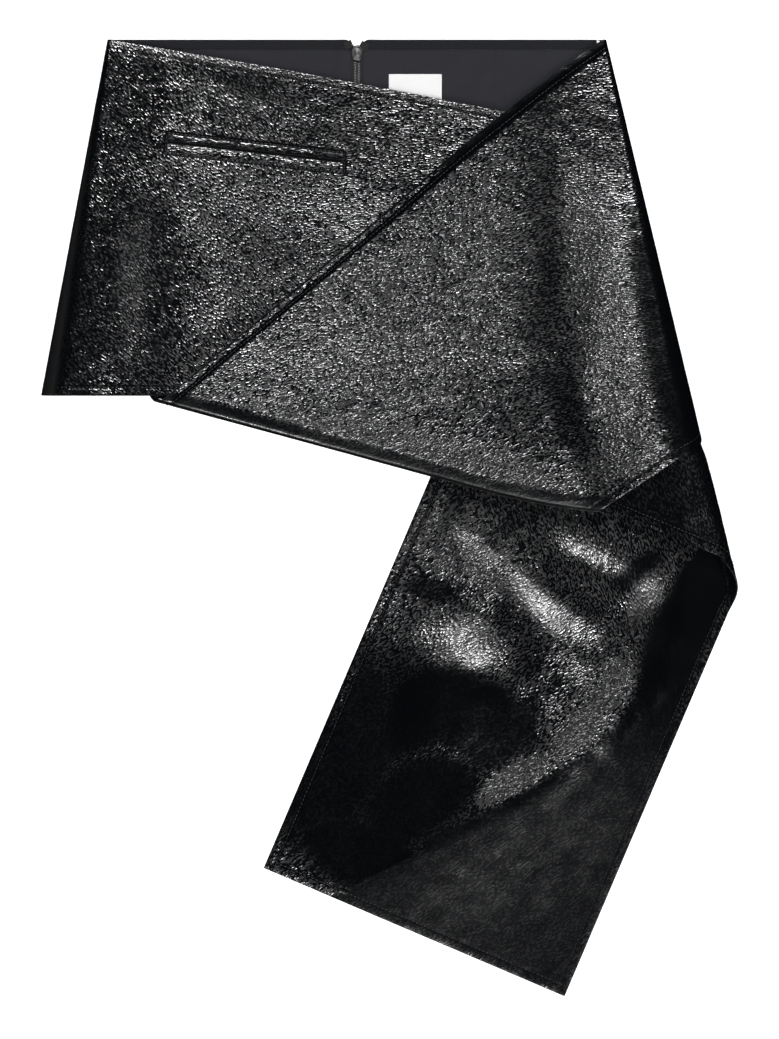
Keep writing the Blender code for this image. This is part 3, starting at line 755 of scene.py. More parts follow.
def pocketTopstitch(face, away, a, b, firstRow, lastRow):
    # a rectangle just outside the window, one cell away from it on every side
    a, b, firstRow, lastRow = a - 1, b + 1, firstRow - 1, lastRow + 1
    parts = [(slice(a, b + 1), firstRow), (b, slice(firstRow, lastRow + 1)),
             (slice(b, a - 1, -1), lastRow), (a, slice(lastRow, firstRow - 1, -1))]
    return (np.concatenate([face[p] for p in parts]), np.concatenate([away[p] for p in parts]))


def plateGrid(xAt, yAt, acrossShares, downShares):
    # crossings of lines xAt(share, y) with lines yAt(share, x)
    s, r = np.meshgrid(acrossShares, downShares, indexing="ij")
    y = yAt(r, np.zeros_like(r))
    for _ in range(5):
        x = xAt(s, y)
        y = yAt(r, x)
    return x, y


def makeWelts():
    across, cell = pocket["weltCells"]
    inset = pocket["inset"]
    lower = pocket["height"] - pocket["upper"] - pocket["slit"]
    rows = {
        # name: node, top and bottom below the window's top edge, which edge is the lip, grain
        "weltUpper": ("pocket_welt_upper", seam, pocket["upper"], 1.0, 0.35),
        "weltLower": ("pocket_welt_lower", pocket["height"] - lower, pocket["height"] - seam, 0.0, 0.85),
    }
    welts = []
    for name, (node, top, bottom, lip, grain) in rows.items():
        down = steps((bottom - top, cell))
        x, y = plateGrid(
            lambda s, y: lerp(pocketX(pocket["from"], y) + inset, pocketX(pocket["to"], y) - inset, s),
            lambda r, x: pocketLine(x, lerp(top, bottom, r)), steps(across), down)
        r = np.broadcast_to(down, x.shape)
        z = frontTop(x, y) - pocket["recess"]
        nearLip = smooth((1.0 - np.abs(r - lip)) * 2.0 - 1.0)
        middle, atLip = pocket["puff"]
        puff = middle * np.sin(math.pi * np.clip(r, 0.0, 1.0)) + atLip * nearLip
        puff += ripples(x, y, pocket["weltRipples"])
        face, back = (np.stack([x, y, level], -1) for level in (z + puff, z - body["wall"]))
        obj = clothShell(name, vinylFront, face, back, {"grain": grain, "flow": 0.8})
        welts.append(settle(obj, "vinyl", node))
    return welts


def makePocketBag():
    bag = pocket["bag"]
    margin = bag["margin"]
    x, y = plateGrid(
        lambda s, y: lerp(pocketX(pocket["from"], y) - margin, pocketX(pocket["to"], y) + margin, s),
        lambda r, x: pocketLine(x, lerp(-margin, bag["depth"], r)), *map(steps, bag["cells"]))
    z = frontTop(x, y) - (pocket["recess"] + body["wall"] + bag["gap"])
    sway = ripples(x, y, bag["ripples"]) - bag["sink"]
    face, back = (np.stack([x, y, level], -1) for level in (z + sway, z + sway - bag["wall"]))
    # its near-black cloth is painted shadow seen through the slit
    obj = settle(clothShell("pocketBag", pocketShadowTwill, face, back), "cotton", "pocket_bag")


welts = makeWelts()
makePocketBag()
makeFront()
print("front and pocket made")


inside = {
    "wall": 1.0, "facingDepth": 80.0, "facingStep": (1.0, 7.0), "facingSeams": (-134.2, 83.5),
    # the facing's waistband: its depth, its height and how softly it ends, the groove below it
    "bandDepth": 7.6, "bandHigh": (0.22, 1.4), "bandGroove": (0.3, 0.7), "backInset": 0.35,
    # the facing below it: waves, from where and over what they grow, grooves beside its seams
    "facingRipples": [(0.14, 34.0, 31), (0.05, 9.0, 32)], "facingFrom": (9.0, 10.0),
    "seamGrooves": (0.25, 3.0, 2.0),
    "tapeWidth": 10.0, "tapeInset": 1.0, "tapeLength": 180.0, "opening": 4.9,
    # the pressed seam allowances and the turned hem: distance, half width, depth
    "allowance": (12.0, 1.2, 0.25), "hemTurn": (12.0, 1.2, 0.3), "backGrain": 0.6,
    "backCells": ((190.0, 5.0), (32.0, 1.6)), "backDown": ((10.0, 1.5), (252.0, 5.0), (14.0, 1.5)),
    "facingWidths": (84.0, 104.5, 103.5, 85.0), "facingCell": 1.5,
    "facingDown": ((14.0, 0.7), (66.0, 2.2)),
    "facingStitches": {"pitch": 2.6, "length": 1.7, "radius": 0.3},
    "label": {"left": 0.0, "right": 41.0, "top": 345.9, "height": 27.0, "wall": 1.0, "cell": 0.8,
              "curl": 0.35, "sewn": 0.05, "ripples": [(0.05, 12.0, 41)],
              "stitches": {"pitch": 2.2, "length": 1.6, "radius": 0.2}},
}


def plateShell(name, finish, xAt, yAt, across, down, low, thick, floats=None, relief=None):
    # flat piece whose underside is low(x, y); relief moves its upper face
    x, y = plateGrid(xAt, yAt, across, down)
    bottom = low(x, y)
    rise = relief(x, y) if relief else 0.0
    top = np.stack([x, y, bottom + thick + rise], -1)
    under = np.stack([x, y, bottom + 0.0 * x], -1)
    shades = {key: read(x, y) for key, read in (floats or {}).items()}
    return clothShell(name, finish, top, under, shades), top


def backRelief(x, y):
    # seam allowances pressed open along the centre seam, and the turned-up hem
    toSeam, seamWide, seamDeep = inside["allowance"]
    toHem, hemWide, hemDeep = inside["hemTurn"]
    seams = seamDeep * valley(np.abs(x - body["centreX"]) - toSeam, seamWide)
    return -seams - hemDeep * valley(y - hemY - toHem, hemWide)


def makeBacks():
    left, right = body["centreX"] - 0.5 * seam, body["centreX"] + 0.5 * seam
    sides = {
        "skirtBackLeft": ("skirt_back_left", lambda y: backEdges(y)[0], lambda y: left, 1),
        "skirtBackRight": ("skirt_back_right", lambda y: right, lambda y: backEdges(y)[1], -1),
    }
    for name, (node, start, end, order) in sides.items():
        obj, _ = plateShell(name, vinylBack, lambda s, y: lerp(start(y), end(y), s),
                            lambda r, x: lerp(waistLine(x) - inside["backInset"], hemY, r),
                            steps(*inside["backCells"][::order]), steps(*inside["backDown"]),
                            backLift, body["wall"],
                            {"grain": lambda x, y: inside["backGrain"] + 0.0 * x}, backRelief)
        settle(obj, "vinyl", node)


def facingLow(x, y):
    # the facings step over the zip's tapes
    start, run = inside["facingStep"]
    overTape = 1.0 - smooth((np.abs(x - body["centreX"]) - inside["tapeWidth"] - start) / run)
    return body["wall"] + seam + (inside["wall"] + seam) * overTape


def facingRelief(x, y):
    fall = waistLine(x) - y
    depth, (high, end), (deep, wide) = (inside[key] for key in ("bandDepth", "bandHigh", "bandGroove"))
    band = high * smooth(fall / 1.0) * (1.0 - smooth((fall - depth + end) / end))
    groove = -deep * valley(fall - depth, wide)
    start, run = inside["facingFrom"]
    below = smooth((fall - start) / run)
    deep, away, wide = inside["seamGrooves"]
    seams = 0.0
    for seamX in inside["facingSeams"]:
        seams = seams - deep * valley(np.abs(x - seamX) - away, wide) * below
    return band + groove + ripples(x, y, inside["facingRipples"]) * below + seams


# where the waistband's darker colour goes: painted shade of its rolled top
def facingBand(x, y):
    return 1.0 - smooth((waistLine(x) - y - inside["bandDepth"]) / 0.6)


def makeFacings():
    seamL, seamR = inside["facingSeams"]
    gap, opening = 0.5 * seam, inside["opening"]
    rows = {
        # name: node, left edge, right edge
        "facingSideLeft": ("facing_side_left", lambda y: backEdges(y)[0], lambda y: seamL - gap),
        "facingLeft": ("facing_left", lambda y: seamL + gap, lambda y: body["centreX"] - opening),
        "facingRight": ("facing_right", lambda y: body["centreX"] + opening, lambda y: seamR - gap),
        "facingSideRight": ("facing_side_right", lambda y: seamR + gap, lambda y: backEdges(y)[1]),
    }
    for (name, (node, start, end)), wide in zip(rows.items(), inside["facingWidths"]):
        obj, top = plateShell(name, liningTwill, lambda s, y: lerp(start(y), end(y), s),
                              lambda r, x: lerp(waistLine(x), body["waistY"] - inside["facingDepth"], r),
                              steps((wide, inside["facingCell"])), steps(*inside["facingDown"]), facingLow,
                              inside["wall"], {"band": facingBand}, facingRelief)
        settle(obj, "cotton", node)
        normals = gridNormals(top)
        normals *= np.sign(normals[..., 2:3])
        fall = waistLine(top[..., 0]) - top[..., 1]
        path = seamPath(top, normals, fall, 1, False, inside["bandDepth"])
        thread = sewLine(name + "Stitches", [path], blackThread, "cotton", **inside["facingStitches"])


def labelRelief(x, y):
    # both sewn ends are pulled down
    label = inside["label"]
    sewn, curl = label["sewn"], label["curl"]
    t = (x - label["left"]) / (label["right"] - label["left"])
    pulls = curl * (1.0 - smooth(t / sewn)), curl * smooth((t - 1.0 + sewn) / sewn)
    return ripples(x, y, label["ripples"]) - pulls[0] - pulls[1]


def makeLabel():
    label = inside["label"]
    wide = label["right"] - label["left"]
    obj, top = plateShell("labelBlank", labelSatin, lambda s, y: lerp(label["left"], label["right"], s),
                          lambda r, x: label["top"] - label["height"] * r,
                          steps((wide, label["cell"])), steps((label["height"], label["cell"])),
                          lambda x, y: facingLow(x, y) + inside["wall"] + seam, label["wall"], None,
                          labelRelief)
    settle(obj, "label", "label_blank")
    paths = [(top[column], np.broadcast_to((0.0, 0.0, 1.0), top[column].shape)) for column in (2, -3)]
    thread = sewLine("labelStitches", paths, labelSatin, "label", **label["stitches"])


zipper = {
    # the coil: pitch, from and to its distance from the middle, height, radius, first teeth's shift
    "pitch": 1.27, "toothFrom": 0.2, "toothTo": 2.5, "toothHigh": 1.5, "toothRadius": 0.47,
    "shift": {"Left": 0.25, "Right": 0.75}, "coilEnds": (0.6, 2.0),
    "tapeCells": ((9.8, 0.8), (179.0, 1.6)), "tapeRipple": (0.06, 8.0, 51),
    # the stitches that hold it: distance from the middle, sizes
    "threadAt": 3.1, "thread": {"pitch": 1.27, "length": 1.0, "radius": 0.2},
    "sliderTop": 368.6, "sliderLength": 12.4, "sliderWide": 9.0, "sliderHigh": 2.8, "waistShare": 0.45,
    # share of the length from the top, half width / width
    "outline": [(0.0, 0.10), (0.04, 0.27), (0.14, 0.38), (0.38, 0.50), (0.62, 0.46), (0.84, 0.38),
                (0.96, 0.31), (1.0, 0.22)],
    # share of the way from the rim to the middle, height / full height
    "crown": [(0.0, 0.30), (0.03, 0.72), (0.10, 0.92), (0.20, 0.90), (0.30, 0.62), (0.50, 0.66),
              (0.75, 0.82), (1.0, 0.88)],
    # folded tape ends beside the slider's top: x and y of the middle, width, height, turn
    "ends": {"Left": (-31.6, 368.9, 6.0, 5.6, 24.0), "Right": (-19.6, 367.6, 6.2, 6.4, -30.0)},
    "endCell": 0.4, "endLift": 0.28, "endWall": 0.55,
    # their pleats: height, turns across, shift, lean, and how much the ends fall away
    "pleats": (0.75, 13.0, 1.2, 2.0, 3.2),
}
# heights inside the zip's layers: under the tapes, and on them
tapeZ = body["wall"] + seam
coilZ = tapeZ + inside["wall"] + seam


def roundBars(centres, halfLength, radius, high, sides=8):
    # small rounded bars across X, one for each centre
    rings = [(-1.0, 0.35), (-0.86, 0.8), (-0.5, 1.0), (0.5, 1.0), (0.86, 0.8), (1.0, 0.35)]
    verts, faces = [], []
    for x, y, z in centres:
        faces += tubeFaces(len(verts), len(rings), sides)
        for share, size in rings:
            for k in range(sides):
                a = 2.0 * math.pi * (k + 0.5) / sides
                verts.append((x + share * halfLength, y + radius * size * math.cos(a),
                              z + 0.5 * high * size * math.sin(a)))
    return verts, faces


def makeTape(side, sign, endY):
    near, far = (body["centreX"] + sign * away for away in (0.5 * seam, inside["tapeWidth"]))
    across, down = map(steps, zipper["tapeCells"])
    high, *wave = zipper["tapeRipple"]
    obj, _ = plateShell(
        "zipTape" + side, zipWeave, lambda s, y: lerp(near, far, s),
        lambda r, x: lerp(waistLine(x) - inside["tapeInset"], endY, r), across, down,
        lambda x, y: tapeZ + 0.0 * x, inside["wall"], None,
        lambda x, y: high * ripple(x, y, *wave) - high)
    settle(obj, "zip", "zip_tape_" + side.lower())


def makeCoil(side, sign, endY):
    look = zipper
    top = look["sliderTop"] - look["sliderLength"] - seam
    above, below = look["coilEnds"]
    count = int((top - endY - below) / look["pitch"]) - 1
    x = body["centreX"] + sign * (0.5 * (look["toothFrom"] + look["toothTo"]))
    centres = [(x, top - above - look["pitch"] * (k + look["shift"][side]), coilZ + 0.5 * look["toothHigh"])
               for k in range(count)]
    verts, faces = roundBars(centres, 0.5 * (look["toothTo"] - look["toothFrom"]), look["toothRadius"],
                             look["toothHigh"])
    coil = addMesh("zipCoil" + side, verts, faces, zipNylon, sharp=60.0)
    settle(coil, "zip", "zip_coil_" + side.lower())
    line = np.array([(body["centreX"] + sign * look["threadAt"], y, tapeZ + inside["wall"])
                     for y in np.arange(top - 1.0, endY + 3.0, -2.0)])
    ups = np.broadcast_to((0.0, 0.0, 1.0), line.shape)
    sewLine("zipThread" + side, [(line, ups)], greyThread, "zip", **look["thread"])


def makeTapeEnd(side, sign):
    # two soft pleats, pinched towards the slider
    look = zipper
    x, y, wide, high, turn = look["ends"][side]
    c, s = heading(turn)
    a, b = np.meshgrid(*(steps((size, look["endCell"])) - 0.5 for size in (wide, high)), indexing="ij")
    px = x + a * wide * c - b * high * s
    py = y + a * wide * s + b * high * c
    deep, turns, shift, lean, fall = look["pleats"]
    pleat = 0.5 + 0.5 * np.sin(a * turns + sign * shift + b * lean)
    low = facingLow(px, py) + inside["wall"] + look["endLift"]
    top = low + look["endWall"] + deep * pleat * (1.0 - fall * b * b)
    face, back = (np.stack([px, py, level], -1) for level in (top, low))
    settle(clothShell("tapeEnd" + side, zipWeave, face, back), "zip")


def makeZip():
    endY = body["waistY"] - inside["tapeLength"]
    for side, sign in (("Left", -1.0), ("Right", 1.0)):
        makeTape(side, sign, endY)
        makeCoil(side, sign, endY)
        makeTapeEnd(side, sign)


def makeSlider():
    look = zipper
    half = 33  # points down each side
    t = np.concatenate([np.linspace(0.0, 1.0, half), np.linspace(1.0, 0.0, half)[1:-1]])
    sign = np.where(np.arange(len(t)) < half, 1.0, -1.0)
    out = along(look["outline"], t, 1) * look["sliderWide"]
    edge = np.stack([body["centreX"] + sign * out, look["sliderTop"] - t * look["sliderLength"]], -1)
    centre = np.array([body["centreX"], look["sliderTop"] - look["waistShare"] * look["sliderLength"]])
    rows = [np.column_stack([edge, np.full(len(edge), coilZ)])]
    for share in np.concatenate([np.linspace(0.0, 0.3, 13), np.linspace(0.36, 0.97, 9)]):
        plan = lerp(edge, centre, share)
        fall = (look["sliderTop"] - plan[:, 1]) / look["sliderLength"]
        dome = 0.72 + 0.28 * np.sin(math.pi * np.clip(0.1 + 0.75 * fall, 0.0, 1.0))
        high = look["sliderHigh"] * dome * along(look["crown"], share, 1)
        rows.append(np.column_stack([plan, coilZ + high]))
    count = len(edge)
    verts = np.concatenate(rows + [[[*centre, coilZ + look["sliderHigh"] * look["crown"][-1][1]]]])
    bottom, sides = tuple(reversed(range(count))), tubeFaces(0, len(rows), count)[:-2]
    last = (len(rows) - 1) * count
    tip = [(last + k, last + (k + 1) % count, len(verts) - 1) for k in range(count)]
    obj = addMesh("zipSlider", verts, [bottom, *sides, *tip], gunmetal, sharp=50.0)
    obj.data.flip_normals()  # the edge runs clockwise
    settle(obj, "gunmetal", "zip_slider")


makeBacks()
makeFacings()
makeLabel()
print("back and facings made")
makeZip()
makeSlider()
print("zip made")


# the scarf's wrap over the front
wrap = {
    "radius": 4.0, "turn": 45.0, "turnHeading": 110.5, "turnShift": 12.0,
    "start": (-175.6, 88.6), "wide": 343.4, "slope": 0.2715, "ease": (254.0, 0.00113),
    "endFall": 323.0, "climb": 11.5, "droop": 7.0, "droopReach": 86.0, "runOn": 22.0,
    "sideBlend": (90.0, 10.0), "clear": 0.8, "heading": 39.0, "looseLip": 0.6,
    # along, bow of the upper edge
    "bow": [(0.0, 0.0), (0.15, 1.0), (0.30, 1.4), (0.50, 3.2), (0.68, 5.0), (0.80, 4.4), (0.90, 3.2),
            (1.0, 0.0)],
    # fall, side, radius and last angle of the fold round the right side
    "side": [(0.0, 169.4, 3.0, -90.0), (58.0, 183.2, 5.8, -90.0), (72.0, 186.5, 6.4, -55.0),
             (225.0, 222.9, 13.7, -45.0), (265.0, 232.4, 15.6, -20.0), (281.0, 236.3, 16.0, -12.0),
             (311.5, 243.4, 16.0, -8.0), (365.0, 256.0, 16.0, -8.0)],
    # channel: the dark groove's distance from the upper edge, its half width at the left and the right
    "upperStitch": 6.6, "lowerStitch": 6.2, "channel": (7.0, 2.3, 3.7),
    "upperSeam": [(0.0, -0.05), (1.0, 0.0), (2.4, 0.04), (4.0, 0.0), (6.6, -0.15), (10.0, 0.0),
                  (13.0, 0.0)],
    "lowerSeam": [(0.0, -0.2), (1.2, 0.03), (3.4, 0.08), (5.0, 0.0), (6.2, -0.15), (7.6, 0.0),
                  (12.0, 0.0)],
    # how much each place is pressed smooth, and what is left of the grain on the roll
    "grain": {"band": 0.85, "fold": 0.85, "groove": 0.95, "roll": 0.3, "foldWide": 15.0, "rim": 1.9,
              "stitchDip": 1.2},
    "foldWorn": 1.8, "crispWorn": 1.6,
    "ripples": [(0.05, 24.0, 5), (0.02, 10.5, 6, 90.0, 60.0)],
    # cells: length and size of each run
    "lineCells": ((14.0, 1.0), (310.0, 2.75), (14.0, 1.0)), "turnedCells": (45.0, 4.0),
    "foldCells": (12.6, 1.1), "faceCells": (447.0, 2.6), "rollCells": (40.0, 2.0),
    "creases": [
        # x, y, length, width, angle, height
        (113.0, 200.0, 260.0, 30.0, 86.0, -1.4),
        (160.0, 150.0, 230.0, 30.0, 80.0, 1.5),
        (60.0, 200.0, 220.0, 60.0, 45.0, 0.9),
        (10.0, 110.0, 230.0, 70.0, 15.0, 0.7),
        (-40.0, 60.0, 200.0, 50.0, -6.0, -0.5),
        (90.0, 60.0, 190.0, 60.0, -14.0, 0.6),
        (140.0, 60.0, 120.0, 24.0, -70.0, -0.9),
        (190.0, 50.0, 90.0, 34.0, 30.0, 1.2),
        (150.0, 270.0, 120.0, 30.0, 60.0, -0.6),
        (195.0, 120.0, 160.0, 16.0, 82.0, -0.8),
    ],
    "smooth": [
        (113.0, 215.0, 270.0, 56.0, 89.0, 0.42),
        (137.0, 92.0, 150.0, 34.0, -72.0, 0.4),
        (186.0, 310.0, 150.0, 44.0, -76.0, 0.55),
        (214.0, 130.0, 300.0, 44.0, -77.0, 0.8),
        (140.0, 335.0, 110.0, 50.0, 39.0, 0.55),
        (160.0, 300.0, 120.0, 70.0, -70.0, 0.5),
    ],
    # where it stands up more: x, y, length, width, angle, amount
    "crisp": [
        (168.0, 160.0, 270.0, 66.0, -80.0, 0.7),
        (20.0, 45.0, 330.0, 60.0, -15.0, 0.6),
        (185.0, 50.0, 90.0, 40.0, 30.0, 0.6),
        (40.0, 170.0, 300.0, 150.0, 40.0, 0.3),
    ],
}


def wrapSide(y):
    fall = body["waistY"] - y
    return tuple(along(wrap["side"], fall, column) for column in (1, 2, 3))


def wrapTop(x, y):
    pastHem = np.maximum(0.0, hemY - y)
    over = frontTop(x, np.maximum(y, hemY)) + wrap["clear"] + body["wall"]
    step = 5.0  # over which the front's slope at the hem is read
    rise = (frontTop(x, hemY + 0.0 * y) - frontTop(x, hemY + step + 0.0 * y)) / step
    over = over + rise * wrap["runOn"] * (1.0 - np.exp(-pastHem / wrap["runOn"]))
    over = over - wrap["droop"] * (pastHem / wrap["droopReach"]) ** 2
    side, roll, _ = wrapSide(y)
    reach, level = wrap["sideBlend"]
    nearSide = smooth((x - (side - roll - reach)) / (reach - level))
    return lerp(over, 2.0 * roll, nearSide)


def foldLine(q):
    run = wrap["wide"] * q
    easeFrom, ease = wrap["ease"]
    drop = wrap["slope"] * run - ease * np.maximum(0.0, run - easeFrom) ** 2
    return np.array([wrap["start"][0] + run, wrap["start"][1] - drop])


def wrapLine(q, turnedShares, foldShares, faceShares, rollShares):
    # one line of the wrap, from its turned-under end round the bottom fold to the right side
    radius, shift = wrap["radius"], wrap["turnShift"]
    nudge = 0.01
    step = unit(foldLine(min(1.0, q + nudge)) - foldLine(max(0.0, q - nudge)))
    out = np.array([step[1], -step[0]])
    start = foldLine(q) - out * radius
    turned = start - step * shift
    plan = turned + np.outer(turnedShares, heading(wrap["turnHeading"]) * wrap["turn"])
    rows = [np.column_stack([plan, wrapTop(plan[:, 0], plan[:, 1]) - 2.0 * radius])]
    a = math.pi * foldShares
    plan = start + np.outer(radius * np.sin(a), out) - np.outer(shift * foldShares, step)
    startZ, endZ = wrapTop(*start), wrapTop(*turned)
    rows.append(np.column_stack([plan, lerp(startZ, endZ, foldShares) - radius * (1.0 - np.cos(a))]))
    endY = body["waistY"] - wrap["endFall"] * q
    side, roll, last = wrapSide(endY)
    end = np.array([side - roll, endY])
    bowed = along(wrap["bow"], faceShares, 1) * (1.0 - q) ** 2
    plan = start + np.outer(faceShares, end - start) + np.outer(bowed, heading(wrap["heading"] + 90.0))
    rows.append(np.column_stack([plan, wrapTop(plan[:, 0], plan[:, 1])]))
    angle = lerp(90.0, last, rollShares)
    y = endY + wrap["climb"] * q * (90.0 - angle) / 90.0
    side, roll, _ = wrapSide(y)
    a = np.radians(angle)
    rows.append(np.column_stack([side - roll + roll * np.cos(a), y, roll * (1.0 + np.sin(a))]))
    lip = wrap["looseLip"]
    if last == -90.0:
        lip = side[-1] - roll[-1] - backEdges(y[-1])[1] - seam
    tip = rows[-1][-1] + np.array([math.sin(a[-1]), 0.0, -math.cos(a[-1])]) * lip
    return np.concatenate(rows + [tip[None]])


def wrapShades(x, y, toUpper, toLower, onFold):
    grain = wrap["grain"]
    fold = distanceTo(np.stack([x, y], -1), np.array([foldLine(q) for q in np.linspace(0.0, 1.0, 40)]))
    middle, left, right = wrap["channel"]
    channel = valley(toUpper - middle, lerp(left, right, smooth((x + 40.0) / 120.0)), 4)
    groove = np.maximum(channel, valley(toLower - wrap["lowerStitch"], grain["stitchDip"]))
    groove = np.maximum(groove, smooth((grain["rim"] - toUpper) / 1.0))
    bandSmooth = smooth((8.0 - toUpper) / 2.0) * smooth((x - 20.0) / 40.0)
    foldSmooth = smooth((grain["foldWide"] - fold) / 6.0)
    crisp = patches(x, y, wrap["crisp"])
    pressed = np.maximum.reduce([grain["band"] * bandSmooth, grain["fold"] * foldSmooth,
                                 grain["groove"] * groove, patches(x, y, wrap["smooth"])])
    worn = np.maximum(wrap["foldWorn"] * smooth((8.0 - fold) / 5.0), wrap["crispWorn"] * crisp) - channel
    return {"grain": (1.0 - pressed) * lerp(1.0, grain["roll"], onFold) * (1.0 + crisp),
            "flow": smooth((x - 60.0) / 120.0), "worn": worn}


def makeWrap():
    turnedShares = steps(wrap["turnedCells"])[:0:-1]
    foldShares = steps(wrap["foldCells"])[::-1]
    faceShares, rollShares = steps(wrap["faceCells"])[1:], steps(wrap["rollCells"])[1:]
    shares = (turnedShares, foldShares, faceShares, rollShares)
    base = np.array([wrapLine(q, *shares) for q in steps(*wrap["lineCells"])])
    away = gridNormals(base)
    middle = len(turnedShares) + len(foldShares) + len(faceShares) // 2
    away *= np.sign(away[len(base) // 2, middle, 2])
    u, v = arcLengths(base, 0), arcLengths(base, 1)
    toUpper, toLower = distanceTo(base, base[0, ::2]), distanceTo(base, base[-1, ::3])
    shown = np.arange(base.shape[1]) >= len(turnedShares)
    soft = ripples(u, v, wrap["ripples"]) + ridges(base[..., 0], base[..., 1], wrap["creases"]) * shown
    onFold = np.clip((base[..., 2] - wrapTop(base[..., 0], base[..., 1])) * -0.4, 0.0, 1.0)
    base = base + away * (soft * lerp(1.0, 0.3, onFold))[..., None]
    seams = profileAt(toUpper, wrap["upperSeam"]) + profileAt(toLower, wrap["lowerSeam"])
    face = base + away * seams[..., None]
    shades = wrapShades(base[..., 0], base[..., 1], toUpper, toLower, onFold)
    obj = clothShell("scarfWrap", vinylWrap, face, base - away * body["wall"], shades)
    settle(obj, "vinyl", "scarf_wrap")
    paths = [seamPath(face, away, toUpper, 0, False, wrap["upperStitch"]),
             seamPath(face, away, toLower, 0, True, wrap["lowerStitch"])]
    thread = sewLine("wrapStitches", paths, blackThread)


